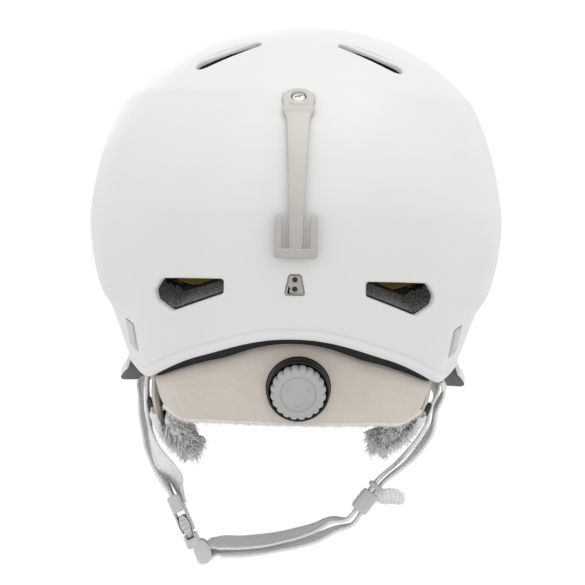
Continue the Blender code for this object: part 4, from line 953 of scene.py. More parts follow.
# ------------------------------------------------------------------ goggle clip, plate, badges
def make_clip():
    """Elastomer collar, strip, crossbar and prongs in one piece, bending below its screw."""
    place = clip_frame()
    profile_points = [(0.0043, 0.0008), (0.0046, 0.0019), (0.0052, 0.0024), (0.0062, 0.0024),
                      (0.0070, 0.0019), (0.0076, 0.0010), (0.0077, 0.0001), (0.0076, -0.0007),
                      (0.0024, -0.0007), (0.0024, 0.0002), (0.0043, 0.0004)]
    collar = turned("clip_collar", profile_points, place, [CLIP], segments=72)
    top, neck, waist, foot = 0.0745, 0.0708, 0.0690, -0.0005        # heights down the strip
    bar_top = foot + 0.0044
    prong_top = bar_top + 0.0170
    heights = np.concatenate([np.linspace(top, waist, 8), np.linspace(waist, prong_top, 34)[1:],
                              np.linspace(prong_top, bar_top, 10)[1:], np.linspace(bar_top, foot, 6)[1:]])
    section = [(-1, 0.15), (-0.97, 0.02), (-0.86, 0.0), (0, 0.0), (0.86, 0.0), (0.97, 0.02), (1, 0.15),
               (1, 0.55), (0.95, 0.86), (0.78, 1.0), (0.3, 1.04), (-0.3, 1.04), (-0.78, 1.0), (-0.95, 0.86),
               (-1, 0.55)]

    def way_down(height):
        return np.clip((neck - height) / (neck - foot), 0, 1)

    def strip_ring(height, centre, half, thick=0.0024, lift=0.0):
        stand = 0.0004 + 0.0030 * math.sqrt(way_down(height)) + lift
        near, normal = rear_point(height, stand)
        return [(centre + half * x, *(near + normal * thick * t)[1:]) for x, t in section]

    rings = []
    for height in heights:
        half = (0.0035 + 0.0026 * (1 - way_down(height)) ** 2.2
                + 0.0022 * smooth_step((height - waist) / 0.0055))
        if height < 0.030:
            half += 0.00012 * math.sin(height * 900)
        rings.append(strip_ring(height, 0.0, half, lift=0.0006 * smooth_step((height - 0.0705) / 0.003)))
    strip = loft("clip_strip", rings, [CLIP])
    bar_rings = []
    for x in np.linspace(-1, 1, 26):
        rise = 0.5 + 0.5 * math.sqrt(max(1 - abs(x) ** 7, 0.02))
        half_tall = 0.0025 * rise
        ring = []
        for a, t in section:
            near, normal = rear_point(foot + 0.0023 + a * half_tall, 0.0034)
            ring.append((x * 0.0107, *(near + normal * 0.0030 * (t * rise + 0.5 * (1 - rise)))[1:]))
        bar_rings.append(ring)
    pieces = [strip, loft("clip_bar", bar_rings, [CLIP])]
    for side in (-1, 1):
        rings = []
        for t in np.linspace(0, 1, 20):
            height = bar_top - 0.0030 + (prong_top - bar_top + 0.0030) * t
            tip = math.sqrt(max(1 - max((t - 0.86) / 0.14, 0) ** 2, 0.03))
            rings.append(strip_ring(height, side * 0.00865, 0.00195 * (0.9 + 0.1 * (1 - t)) * tip,
                                    0.0024 * (0.6 + 0.4 * tip)))
        pieces.append(loft(f"clip_prong_{side}", rings, [CLIP]))
    # the gusset under the collar: a V that runs down into the strip
    gusset = []
    for t in np.linspace(0, 1, 12):
        height = 0.0826 - 0.0146 * t
        half = 0.0080 - 0.0028 * smooth_step((t - 0.2) / 0.8)
        gusset.append(strip_ring(height, 0.0, half, 0.0019 + 0.0004 * t, lift=0.0001))
    pieces.append(loft("clip_gusset", gusset, [CLIP]))
    cut(collar, pieces, union=True)
    bore = ((0, 0.006), (0.0042, 0.006), (0.0040, 0.0005), (0.0023, 0.0005), (0.0023, -0.004), (0, -0.004))
    cut(collar, [turned("t_clip_bore", bore, place)])
    collar.name = "clip"
    rear_point(0.0742, 0.001)[0]
    rear_point(0.0560, 0.002)[0]
    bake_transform(collar)
    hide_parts("goggle_clip_base", "goggle_clip_arm")
    return collar


def cross_screw(name, place, head, height, shank, recess=0.62, segments=48, mats=None):
    """A pan-head screw with a cross recess."""
    outline = [(0, height), (head * 0.45, height * 0.98), (head * 0.78, height * 0.80),
               (head * 0.95, height * 0.5), (head, height * 0.15), (head * 0.97, 0.0),
               (head * 0.5, 0.0), (head * 0.48, -shank), (0, -shank)]
    screw = turned(name, outline, place, mats or [CHROME], segments=segments)
    arm, wide = head * recess, head * 0.17
    tools = []
    for angle in (0.35, 0.35 + math.pi / 2):
        turn = place @ Matrix.Rotation(angle, 4, "Z")
        low, high = [(-arm * 0.55, -wide * 0.6), (arm * 0.55, wide * 0.6)], [(-arm, -wide), (arm, wide)]
        rings = []
        for (x, y), z in zip((low[1], high[1]), (height * 0.25, height * 1.3)):
            rings.append(placed(turn, [(-x, -y, z), (x, -y, z), (x, y, z), (-x, y, z)]))
        tools.append(loft(f"{name}_t{angle:.1f}", rings))
    return cut(screw, tools)


def make_clip_screw():
    place = clip_frame() @ Matrix.Translation((0, 0, 0.0006))
    screw = cross_screw("clip_screw", place, 0.0038, 0.0020, 0.0100)
    return show(screw, ROOT, "screw_steel", "goggle_clip_screw")


PLATE_SCREWS = (("top", 0.0027), ("bottom", -0.0020))


def make_plate():
    place = plate_frame()
    outline = rounded_outline(PLATE_CORNERS, 0.0009)
    rings = []
    for z, grow in ((-0.0009, 0.0), (0.0003, 0.0), (0.0006, -0.00008), (0.00078, -0.00026)):
        rings.append([(*p, z) for p in grown(outline, grow)])
    rings.append([(*p, 0.00080) for p in grown(outline, -0.0007)])
    plate = loft("accessory_plate_metal", [placed(place, r) for r in rings], [PLATE])
    tools = []
    for _, height in PLATE_SCREWS:
        spot = place @ Matrix.Translation((0, height, 0))
        seat = ((0, 0.002), (0.00175, 0.002), (0.0016, 0.0007), (0.0015, 0.0001), (0.0009, 0.0001),
                (0.0009, -0.002), (0, -0.002))
        tools.append(turned(f"t_seat_{height}", seat, spot, segments=32))
    cut(plate, tools)
    show(plate, ROOT, "plate_metal", "accessory_plate")
    for label, height in PLATE_SCREWS:
        spot = place @ Matrix.Translation((0, height, 0.00015))
        screw = cross_screw(f"plate_pin_{label}", spot, 0.00125, 0.0004, 0.0030, segments=28, mats=[BLACK])
        show(screw, ROOT, "screw_steel", f"plate_screw_{label}")


def make_badges():
    for side, label in ((1, "left"), (-1, "right")):
        place = badge_frame(side)
        rings = []
        for scale, z in ((0.93, -0.0009), (0.93, 0.00005), (0.90, 0.00030), (0.86, 0.00030),
                         (0.83, 0.00008), (0.70, 0.00008), (0.66, 0.00034), (0.62, 0.00048),
                         (0.30, 0.00052)):
            rings.append(placed(place, [(x, y, z) for x, y in badge_outline(side, scale)]))
        badge = loft(f"badge_{label}", rings, [BADGE], sharp=30)
        show(badge, ROOT, "badge_silver", f"side_badge_{label}")


# ------------------------------------------------------------------ dial
DIAL_CENTRE = Vector((-0.0028, 0.1085, -0.0653))
DIAL_TILT = math.radians(18)
DIAL_NORMAL = Vector((0, math.cos(DIAL_TILT), -math.sin(DIAL_TILT)))


def dial_place():
    return frame_at(DIAL_CENTRE, DIAL_NORMAL)


def make_dial():
    place = dial_place()
    ring = turned("dial_ring", ((0.0158, 0.0004), (0.0158, -0.0125), (0.0030, -0.0125), (0.0030, -0.0108),
                                (0.0146, -0.0108), (0.0146, 0.0008), (0.0149, 0.0011), (0.0154, 0.0011)),
                  place, [BLACK], segments=96)
    show(ring, ROOT, "plastic_black", "dial_housing")
    scallops, steps = 20, 10
    angles = np.linspace(0, 2 * math.pi, scallops * steps, endpoint=False)
    grip = np.abs(np.sin(scallops * angles / 2)) ** 0.62          # round lobes with sharp valleys
    layers = ((0.0118, -0.0020, 0.0), (0.0131, -0.0019, 0.3), (0.0137, -0.0008, 0.8), (0.0139, 0.0012, 1.0),
              (0.01385, 0.0032, 1.0), (0.0134, 0.0046, 0.9), (0.0126, 0.0055, 0.75), (0.0114, 0.0060, 0.45),
              (0.0100, 0.0062, 0.18), (0.0092, 0.0061, 0.0), (0.0089, 0.0057, 0.0), (0.0086, 0.0057, 0.0),
              (0.0083, 0.0060, 0.0), (0.0076, 0.0062, 0.0), (0.0040, 0.0063, 0.0), (0.0015, 0.0063, 0.0))
    rings = []
    for radius, height, depth in layers:
        r = radius - 0.0012 * depth * (1 - grip)
        rings.append(placed(place, [(a * math.cos(t), a * math.sin(t), height) for a, t in zip(r, angles)]))
    knob = loft("dial_grip", rings, [KNOB], sharp=50)
    cut(knob, [turned("t_knob_bore", drill(0.0013, -0.006, 0.0030), place, segments=24)])
    show(knob, "dial", "knob_grey", "dial_knob")
    # small raised arrows round the face show which way tightens
    for k in range(3):
        a = k * 2 * math.pi / 3 + 0.5
        path = []
        for t in np.linspace(-0.30, 0.30, 12):
            path.append(place @ Vector((0.0062 * math.cos(a + t), 0.0062 * math.sin(a + t), 0.00630)))
        mark = tube(f"dial_mark_{k}", path, 0.00032, [KNOB], segments=8)
        show(mark, "dial", "knob_grey")


# ------------------------------------------------------------------ padded pieces
def pillow(name, point, lengths, rows, cols, thickness, mats, roundness=0.45, power=5.0, skew=0.5,
           dimple=None):
    """A stuffed form between two sheets that meet at a seam.

    point(a, b, h) gives the place at a and b, which run -1..1, lifted by h.
    """
    a = np.linspace(-1, 1, cols)[None, :].repeat(rows, 0)
    b = np.linspace(-1, 1, rows)[:, None].repeat(cols, 1)
    ra, rb = a * np.sqrt(1 - roundness * b ** 4 / 2), b * np.sqrt(1 - roundness * a ** 4 / 2)
    full = ((1 - np.abs(a) ** power) * (1 - np.abs(b) ** power)) ** 0.5
    if dimple is not None:
        full = full * dimple(a, b)
    upper = point(ra, rb, thickness * skew * full)
    lower = point(ra, rb, -thickness * (1 - skew) * full)
    index = np.arange(rows * cols).reshape(rows, cols)
    back = index.copy()
    inner = np.zeros((rows, cols), bool)
    inner[1:-1, 1:-1] = True
    back[inner] = rows * cols + np.arange(inner.sum())
    points = np.concatenate([upper.reshape(-1, 3), lower[inner]])
    faces = []
    for r in range(rows - 1):
        for c in range(cols - 1):
            faces.append([index[r, c], index[r, c + 1], index[r + 1, c + 1], index[r + 1, c]])
            faces.append([back[r, c], back[r + 1, c], back[r + 1, c + 1], back[r, c + 1]])
    uv = np.stack([ra * lengths[0] / 2, rb * lengths[1] / 2], axis=-1)
    uvs = np.concatenate([uv.reshape(-1, 2), uv[inner]])
    return new_mesh(name, points, faces, mats, uvs=uvs, sharp=80)


def inflate(obj, cap, frames=12, pressure=4.0):
    """Stuffs a closed form: a cloth simulation blows it up, held to a small swell."""
    count = len(obj.data.vertices)
    start, end = np.zeros(count * 3), np.zeros(count * 3)
    obj.data.vertices.foreach_get("co", start)
    scene = bpy.context.scene
    cloth = obj.modifiers.new("Stuffing", "CLOTH")
    settings = cloth.settings
    settings.use_pressure = True
    settings.uniform_pressure_force = pressure
    settings.mass = 0.2
    settings.tension_stiffness = settings.compression_stiffness = 18
    settings.shear_stiffness = 8
    settings.bending_stiffness = 0.6
    settings.quality = 5
    settings.effector_weights.gravity = 0.0
    cloth.point_cache.frame_start, cloth.point_cache.frame_end = 1, frames
    for number in range(1, frames + 1):
        scene.frame_set(number)
    evaluated = obj.evaluated_get(bpy.context.evaluated_depsgraph_get())
    evaluated.data.vertices.foreach_get("co", end)
    obj.modifiers.clear()
    scene.frame_set(1)
    start, end = start.reshape(-1, 3), end.reshape(-1, 3)
    move = np.nan_to_num(end - start)
    far = np.linalg.norm(move, axis=1, keepdims=True)
    move *= np.minimum(1.0, cap / np.maximum(far, 1e-9))
    obj.data.vertices.foreach_set("co", (start + move).ravel())
    obj.data.update()


ROLL_BOTTOM = ((20, -0.0740), (42, -0.0835), (90, -0.0855))
ROLL_SET_IN = ((20, 0.0015), (60, 0.0095), (90, 0.0115))
ROLL_HALF_SPAN = 66                  # degrees either side of the rear centre line
ROLL_MIDDLE = 0.0037                 # depth of its middle plane below its outer face


def roll_angle(a):
    """Angle round the plan for a share of the roll, -1 at its right end and 1 at its left."""
    return np.radians(90 + ROLL_HALF_SPAN * a)


def roll_point(theta, height, depth):
    set_in = curve_through(ROLL_SET_IN, side_angle(theta))
    return skin(theta, level_at(theta, height), set_in + depth)


def roll_edges(theta):
    angle = side_angle(theta)
    top = curve_through(HEM, angle) - 0.0008 - 0.0047 * smooth_step((angle - 30) / 40)
    return top, curve_through(ROLL_BOTTOM, angle)


HEM_TUFTS = 3000


def make_neck_roll():
    def point(a, b, h):
        theta = roll_angle(a)
        top, bottom = roll_edges(theta)
        height = top + (bottom - top) * (0.5 + 0.5 * b)
        # the face bulges most below the middle, and puckers softly along its length
        ripple = 0.00035 * np.sin(a * 46 + 2.2 * np.sin(a * 9)) * (1 - b ** 2) * (b > 0)
        return roll_point(theta, height, ROLL_MIDDLE - h + ripple)

    def channels(a, b):
        across = 1 - 0.08 * np.exp(-((b + 0.42) / 0.12) ** 2)
        return across * (1 - 0.06 * np.exp(-((np.abs(a) - 0.62) / 0.03) ** 2))

    roll = pillow("neck_roll_cover", point, (0.26, 0.030), 34, 190, 0.0070, [LINING], roundness=0.10,
                  power=4.0, dimple=channels)
    inflate(roll, 0.0010)
    cut(roll, [turned("t_dial_way", drill(0.0163, 0.02, -0.03), dial_place(), segments=72)])
    show(roll, ROOT, "lining_fabric", "neck_roll")
    # light brushed hem along the lower edge
    a = np.linspace(-0.985, 0.985, 150)
    th = roll_angle(a)
    top, bottom = roll_edges(th)
    path = roll_point(th, bottom + 0.0006, ROLL_MIDDLE)
    hem = tube("neck_roll_hem", path, 0.0019, [LINING_SOFT], segments=12, flatten=0.8)
    show(hem, ROOT, "lining_fabric")
    rng = np.random.default_rng(5)
    a = rng.uniform(-0.985, 0.985, HEM_TUFTS)
    th = roll_angle(a)
    lower = roll_edges(th)[1]
    height = lower + rng.uniform(-0.0006, 0.0016, HEM_TUFTS)
    root = roll_point(th, height, ROLL_MIDDLE + rng.uniform(-0.0016, 0.0012, HEM_TUFTS))
    out = (roll_point(th, lower, ROLL_MIDDLE - 0.01) - roll_point(th, lower, ROLL_MIDDLE)) * 60
    lean = np.array([0.0, 0.0, -1.0]) + rng.normal(0, 0.35, (HEM_TUFTS, 3))
    fuzz = tufts("neck_roll_fuzz", root, out, lean, rng.uniform(0.0010, 0.0022, HEM_TUFTS),
                 rng.uniform(0.00012, 0.00022, HEM_TUFTS))
    show(fuzz, ROOT, "lining_fabric")
    return roll


def make_nape_band():
    """Dark sheet behind the rolled hem that closes the gap above the neck roll; its near-black stands partly
    for the black foam seen under the hem and partly for painted shade in the gap.
    """
    def point(a, b, h):
        theta = roll_angle(a)
        angle = side_angle(theta)
        top = curve_through(HEM, angle) + 0.0045
        bottom = roll_edges(theta)[0] - 0.0070
        return skin(theta, level_at(theta, top + (bottom - top) * (0.5 + 0.5 * b)),
                    curve_through(ROLL_SET_IN, angle) + 0.0048 - h)

    band = pillow("nape_band", point, (0.26, 0.014), 10, 150, 0.0012, [NAPE_FOAM_AND_SHADE], roundness=0.02)
    show(band, ROOT, "foam_black")


def tufts(name, root, out, lean, length, width):
    """Tapered three-sided strands that leave along out and bend towards lean."""
    across = np.cross(out, lean)
    across /= np.maximum(np.linalg.norm(across, axis=1, keepdims=True), 1e-9)
    length, width = length[:, None], width[:, None]
    rows = []
    for t, w in ((0.0, 1.0), (0.4, 0.85), (0.75, 0.5)):
        spot = root + out * length * (t - 0.45 * t * t) + lean * length * 0.75 * t * t
        for c in range(3):
            angle = c * 2 * math.pi / 3
            rows.append(spot + width * w * (across * math.cos(angle) + out * math.sin(angle)))
    rows.append(root + out * length * 0.55 + lean * length * 0.75)
    points = np.stack(rows, axis=1).reshape(-1, 3)
    one = [[2, 1, 0]]
    for r in (0, 3):
        one += [[r + c, r + (c + 1) % 3, r + 3 + (c + 1) % 3, r + 3 + c] for c in range(3)]
    one += [[6 + c, 6 + (c + 1) % 3, 9] for c in range(3)]
    faces = [[10 * k + v for v in face] for k in range(len(root)) for face in one]
    return new_mesh(name, points, faces, [FLEECE], sharp=180)


EAR_SECTION = ((0.0735, -0.0545), (0.0735, -0.0700), (0.0695, -0.0840), (0.0610, -0.0945), (0.0500, -0.0990))
EAR_Y = (-0.040, 0.043)
RIGHT_EAR_LEAN = math.radians(11)
EAR_PATH = smooth_path([(x, 0.0, z) for x, z in EAR_SECTION], 65)
EAR_LENGTHS = route_lengths(EAR_PATH)


def ear_point(side, a, b, depth):
    """A place on the ear pad: a along Y, b down from the shell, depth towards the head."""
    middle, half = sum(EAR_Y) / 2, (EAR_Y[1] - EAR_Y[0]) / 2
    reach = 1 - 0.55 * np.abs(a) ** 3.0
    s = (0.5 + 0.5 * b) * reach * EAR_LENGTHS[-1]
    x, z = np.interp(s, EAR_LENGTHS, EAR_PATH[:, 0]), np.interp(s, EAR_LENGTHS, EAR_PATH[:, 2])
    ahead = np.minimum(s + 0.001, EAR_LENGTHS[-1])
    tx = np.interp(ahead, EAR_LENGTHS, EAR_PATH[:, 0]) - np.interp(ahead - 0.002, EAR_LENGTHS, EAR_PATH[:, 0])
    tz = np.interp(ahead, EAR_LENGTHS, EAR_PATH[:, 2]) - np.interp(ahead - 0.002, EAR_LENGTHS, EAR_PATH[:, 2])
    size = np.hypot(tx, tz)
    x, z = x + depth * tz / size, z - depth * tx / size
    y = middle + a * half
    if side < 0:
        x0, z0 = EAR_SECTION[0]
        cos, sin = math.cos(RIGHT_EAR_LEAN), math.sin(RIGHT_EAR_LEAN)
        dx, dz = x - x0, z - z0
        x, z = -(x0 + dx * cos + dz * sin), z0 - dx * sin + dz * cos
    return np.stack(np.broadcast_arrays(x, y, z), axis=-1)


COVER_MIDDLE, COVER_HALF = -0.28, 0.72         # how far down the pad the woven cover reaches


def make_ear_pads():
    for side, label in ((1, "left"), (-1, "right")):
        def cover(a, b, h):
            return ear_point(side, a, COVER_MIDDLE + COVER_HALF * b, 0.0021 - h)

        def puffs(a, b):
            return 1 - 0.35 * np.exp(-((b - 0.15 + 0.5 * a ** 2) / 0.05) ** 2)

        pad = pillow(f"ear_cover_{label}", cover, (0.083, 0.055), 44, 64, 0.0040, [LINING], roundness=0.25,
                     power=6.0, dimple=puffs)
        inflate(pad, 0.0009)
        show(pad, ROOT, "lining_fabric", f"ear_pad_{label}")
        # dark piping along the cover's seam, down to a snap near the rear edge
        u = np.linspace(-0.93, 0.86, 70)
        path = ear_point(side, u, COVER_MIDDLE + COVER_HALF * (0.80 - 0.5 * u ** 2), -0.0002)
        show(tube(f"ear_piping_{label}", path, 0.00085, [PIPING], segments=10), ROOT, "lining_fabric")
        make_snap(side, label)
        make_pleats(side, label)
        make_fleece(side, label)


def make_snap(side, label):
    here = ear_point(side, np.array(0.80), np.array(-0.12), np.array(-0.0005))
    off = ear_point(side, np.array(0.80), np.array(-0.12), np.array(-0.0105))
    place = frame_at(Vector(here), Vector(off - here))
    stud = ((0, 0.0014), (0.0014, 0.0015), (0.0022, 0.0019), (0.0032, 0.0017), (0.0037, 0.0009),
            (0.0038, 0.0), (0.0036, -0.0006), (0, -0.0006))
    snap = turned(f"ear_snap_{label}", stud, place, [SNAP], segments=48)
    show(snap, ROOT, "plastic_black")


def make_pleats(side, label):
    """The gathered elastic band between the cover and the fleece, along the lower and rear edges."""
    count = 260
    u = np.linspace(-0.97, 0.97, count)
    rows = []
    number = np.arange(count)
    gather = 0.00075 * np.sin(number * 2 * math.pi / 7.3 + 0.8 * np.sin(number * 0.21))
    for k, (b, depth) in enumerate(((0.40, -0.0004), (0.46, -0.0014), (0.56, -0.0016), (0.66, -0.0010),
                                    (0.72, 0.0006), (0.70, 0.0018))):
        share = 0.2 if k in (0, 5) else 1.0
        rows.append(ear_point(side, u, np.full(count, b), depth + gather * share))
    outer = np.array(rows)
    inner = np.array([ear_point(side, u, np.full(count, b), np.full(count, d)) for b, d in
                      ((0.40, 0.0004), (0.46, -0.0004), (0.56, -0.0006), (0.65, -0.0001), (0.69, 0.0010),
                       (0.68, 0.0018))])
    points = np.concatenate([outer.reshape(-1, 3), inner.reshape(-1, 3)])
    rows_n, back = len(outer), len(outer) * count
    faces = grid_faces(rows_n, count) + grid_faces(rows_n, count, start=back, flip=True)
    for c in range(count - 1):
        faces.append([c + 1, c, back + c, back + c + 1])
        last = (rows_n - 1) * count
        faces.append([last + c, last + c + 1, back + last + c + 1, back + last + c])
    for r in range(rows_n - 1):
        a, b = r * count, (r + 1) * count
        faces.append([a, b, back + b, back + a])
        faces.append([b + count - 1, a + count - 1, back + a + count - 1, back + b + count - 1])
    uvs = np.zeros((len(points), 2))
    uvs[:, 0] = np.tile(u * 0.041, 2 * rows_n)
    uvs[:, 1] = np.repeat(np.tile(np.arange(rows_n) * 0.0015, 2), count)
    show(new_mesh(f"ear_hem_{label}", points, faces, [ELASTIC], uvs=uvs, sharp=80), ROOT, "lining_fabric")


FLEECE_TUFTS = 9000


def fleece_depth(b):
    """Middle and half thickness of the fleece: inside the cover above, filling the pad's edge below it."""
    low = smooth_step((b - 0.30) / 0.35)
    return 0.0086 - 0.0032 * low, 0.0034 + 0.0020 * low


def make_fleece(side, label):
    """Long pile over a backing, with thousands of tapered tufts that lean towards the edge."""
    def backing(a, b, h):
        down = 0.10 + 0.82 * b
        middle, half = fleece_depth(down)
        return ear_point(side, a * 0.92, down, middle - h * half / 0.0034)

    base = pillow(f"fleece_{label}", backing, (0.075, 0.045), 26, 36, 0.0060, [FLEECE], roundness=0.3,
                  power=3.0)
    rng = np.random.default_rng(7 if side > 0 else 8)
    a, b = rng.uniform(-0.92, 0.92, FLEECE_TUFTS), rng.uniform(-0.70, 0.95, FLEECE_TUFTS)
    outside = (b > 0.70) & (rng.uniform(0, 1, FLEECE_TUFTS) < 0.45)
    full = ((1 - np.abs(a / 0.94) ** 3) * (1 - np.clip(b, 0, 1) ** 3)).clip(0, 1) ** 0.5
    middle, half = fleece_depth(b)
    rim = b > 0.84
    through = np.where(rim, rng.uniform(-0.8, 0.8, FLEECE_TUFTS),
                       (0.15 + 0.75 * full) * np.where(outside, -1, 1))
    depth = middle + half * through
    root = ear_point(side, a, b, depth)
    out = (ear_point(side, a, b, depth + 0.01) - root) * through[:, None]
    out += (root - ear_point(side, a, b - 0.05, depth)) * np.where(rim, 6.0, 0.0)[:, None]
    out /= np.maximum(np.linalg.norm(out, axis=1, keepdims=True), 1e-9)
    clump = np.sin(a * 31 + 3 * np.sin(b * 9)) * np.cos(b * 24 + 2 * np.sin(a * 13))
    down = np.array([0.0, 0.25, -1.0]) * 0.60 + np.stack([0 * a, clump * 0.5, 0 * a], axis=1)
    lean = down + rng.normal(0, 0.28, (FLEECE_TUFTS, 3))
    length = rng.uniform(0.0040, 0.0070, FLEECE_TUFTS) * (1 + 0.15 * clump)
    pile_made = tufts(f"fleece_pile_{label}", root, out, lean, length,
                      rng.uniform(0.00035, 0.00060, FLEECE_TUFTS))
    show(base, ROOT, "fleece", f"ear_fleece_{label}")
    show(pile_made, ROOT, "fleece")


CROWN_PAD_LEVEL = 0.31              # how far down from the crown its pad reaches


def make_pads():
    def over(angles, heights):
        def point(a, b, h):
            theta = np.radians((angles[0] + angles[1]) / 2 + a * (angles[1] - angles[0]) / 2)
            height = (heights[0] + heights[1]) / 2 + b * (heights[0] - heights[1]) / 2
            return skin(theta, level_for_height(theta, height), (PAD_OUTER + PAD_INNER) / 2 + h)
        return point

    def quilt(pitch_a, pitch_b):
        def channels(a, b):
            return (1 - 0.45 * np.exp(-((np.abs(((a * pitch_a) % 1) - 0.5)) / 0.06) ** 2)) \
                * (1 - 0.45 * np.exp(-((np.abs(((b * pitch_b) % 1) - 0.5)) / 0.09) ** 2))
        return channels

    for name, node, angles, heights, size, quilting in (
            ("brow_cushion", "brow_pad", (-140, -40), (0.030, 0.004), (0.17, 0.026), (4, 0.5)),
            ("side_cushion_left", "side_pad_left", (-24, 26), (0.034, -0.004), (0.08, 0.038), (1.5, 1)),
            ("side_cushion_right", "side_pad_right", (154, 204), (0.034, -0.004), (0.08, 0.038), (1.5, 1)),
            ("rear_cushion", "rear_pad", (62, 118), (0.040, 0.012), (0.09, 0.03), (1.5, 1))):
        pad = pillow(name, over(angles, heights), size, 26, int(size[0] / 0.0022), 0.0050, [LINING],
                     roundness=0.5, dimple=quilt(*quilting))
        inflate(pad, 0.0008)
        show(pad, ROOT, "lining_fabric", node)

    def crown(a, b, h):
        turn = np.arctan2(b, a)
        radius = np.maximum(np.abs(a), np.abs(b)) * CROWN_PAD_LEVEL
        return skin(turn, np.maximum(radius, 1e-5), (PAD_OUTER + PAD_INNER) / 2 + h)

    pad = pillow("crown_cushion", crown, (0.09, 0.09), 40, 40, 0.0050, [LINING], roundness=0.0,
                 dimple=quilt(1.5, 1.5))
    show(pad, ROOT, "lining_fabric", "crown_pad")


# ------------------------------------------------------------------ webbing
WEB_WIDTH, WEB_THICKNESS, TAB_WIDTH = 0.0150, 0.0016, 0.0120
STITCH_INSET, STITCH_REACH, STITCH_PITCH = 0.0024, 0.0007, 0.0011      # the zigzag along each edge
ACROSS = (0.0, 1.0, 0.0)
STRAP_PIVOT = Vector((-0.0745, 0.0, -0.0762))
BUCKLE_MIDDLE = Vector((0.0556, -0.0060, -0.1358))
KEEPER_CENTRE = Vector((-0.0400, -0.0080, -0.1215))
KEEPER_AXIS = Vector((-0.60, 0.0, 0.80))
ANCHOR_STARTS = dict(front=(0.0738, -0.0400, -0.05345), rear=(0.0758, 0.0330, -0.05495))


class Parts:
    """Gathers several closed forms, each with its own material, into one mesh."""

    def __init__(self):
        self.points, self.faces, self.kinds, self.uvs = [], [], [], []

    def add(self, rings, kind, uvs=None, caps=True, closed=False):
        rings = [np.asarray(r, float) for r in rings]
        count, start = len(rings[0]), len(self.points)
        self.points.extend(p for r in rings for p in r)
        flat = np.zeros((len(rings) * count, 2)) if uvs is None else np.concatenate(uvs)
        self.uvs.extend(flat)
        made = grid_faces(len(rings), count, wrap_cols=True, start=start)
        if closed:
            last = start + (len(rings) - 1) * count
            made += [[last + c, last + (c + 1) % count, start + (c + 1) % count, start + c]
                     for c in range(count)]
        elif caps:
            made.append([start + c for c in range(count)][::-1])
            made.append(list(range(len(self.points) - count, len(self.points))))
        self.faces += made
        self.kinds += [kind] * len(made)

    def finish(self, name, mats, sharp=60):
        return new_mesh(name, self.points, self.faces, mats, self.kinds, uvs=self.uvs, sharp=sharp)


def keeper_place():
    z = KEEPER_AXIS.normalized()
    y = Vector((0, 1, 0))
    return Matrix.Translation(KEEPER_CENTRE) @ Matrix((y.cross(z), y, z)).transposed().to_4x4()


def keeper_point(along, across, through):
    return keeper_place() @ Vector((along, across, through))


def buckle_place():
    arm = BUCKLE_MIDDLE - STRAP_PIVOT
    arm.y = 0
    arm.normalize()
    along, across = Vector((arm.z, 0, -arm.x)), Vector((0, 1, 0))
    turn = Matrix((along, across, along.cross(across))).transposed().to_4x4()
    return Matrix.Translation(BUCKLE_MIDDLE - along * 0.017) @ turn


def buckle_point(along, across, through):
    return tuple(buckle_place() @ Vector((along, across, through)))


def strap_frames(route, widths, count):
    """Centre line, width and face directions along a strap."""
    path = smooth_path(route, count)
    across = smooth_path(widths, count, route_lengths(route))
    along = np.gradient(path, axis=0)
    along /= np.linalg.norm(along, axis=1, keepdims=True)
    across = across - along * np.sum(across * along, axis=1, keepdims=True)
    across /= np.linalg.norm(across, axis=1, keepdims=True)
    return path, across, np.cross(along, across)


def web_section(half, thick):
    """Half of a strap's outline as (across, through): flat faces, fuller woven edges."""
    edge = thick * 0.56
    upper = [(-half, 0.0), (-half + edge * 0.18, edge * 0.72), (-half + edge * 0.75, edge),
             (-half + 0.0014, thick * 0.47), (-half * 0.5, thick * 0.5), (0.0, thick * 0.5),
             (half * 0.5, thick * 0.5), (half - 0.0014, thick * 0.47),
             (half - edge * 0.75, edge), (half - edge * 0.18, edge * 0.72), (half, 0.0)]
    return upper + [(a, -t) for a, t in upper[::-1][1:-1]]


def strap(name, route, widths, body, nodes, count=90, width=WEB_WIDTH, thick=WEB_THICKNESS, bites=(),
          round_end=False, slack=0.00012):
    """Woven strap with zigzag-sewn edges; bites are the shares of its length where it is bar-tacked."""
    path, across, face = strap_frames(route, widths, count)
    at = route_lengths(path)
    made = Parts()
    section = web_section(width / 2 - 0.0001, thick)
    rings, uvs = [], []
    for k in range(count):
        left = at[-1] - at[k]
        share = math.sqrt(max(1 - max(1 - left / (width * 0.45), 0) ** 2, 0.02)) if round_end else 1.0
        wave = slack * math.sin(at[k] * 310 + route[0][0] * 900)
        ring = [path[k] + across[k] * a * share + face[k] * (t + wave * (a / width) * 2) for a, t in section]
        rings.append(ring)
        uvs.append([(a * share, at[k]) for a, _ in section])
    made.add(rings, 0, uvs)
    for edge in (-1, 1):
        for surface in (-1, 1):
            zig = zigzag(path, across, face, at, edge * (width / 2 - STITCH_INSET),
                         surface * thick * 0.52, STITCH_REACH, STITCH_PITCH)
            made.add(cord_rings(zig, 0.00019, 5), 1)
    for share in bites:
        for row in np.linspace(-0.0035, 0.0035, 4):
            centre = np.clip(share * at[-1] + row, 0.001, at[-1] - 0.001)
            k = int(np.searchsorted(at, centre))
            line = []
            for n, a in enumerate(np.linspace(-0.34, 0.34, 15)):
                lift = thick * (0.53 if n % 2 else 0.60)
                line.append(path[k] + across[k] * a * width + face[k] * lift)
            made.add(cord_rings(line, 0.00024, 6), 1)
    piece = made.finish(name, [WEBBING, THREAD])
    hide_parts(*nodes)
    if body:
        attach(piece, body)
    return piece


def zigzag(path, across, face, at, offset, lift, reach, pitch):
    line = []
    steps = int(at[-1] / (pitch / 2))
    for n in range(1, steps):
        s = n * pitch / 2
        centre, wide, up = (np.array([np.interp(s, at, v[:, i]) for i in range(3)])
                            for v in (path, across, face))
        line.append(centre + wide * (offset + (reach if n % 2 else -reach)) + up * lift)
    return np.array(line)


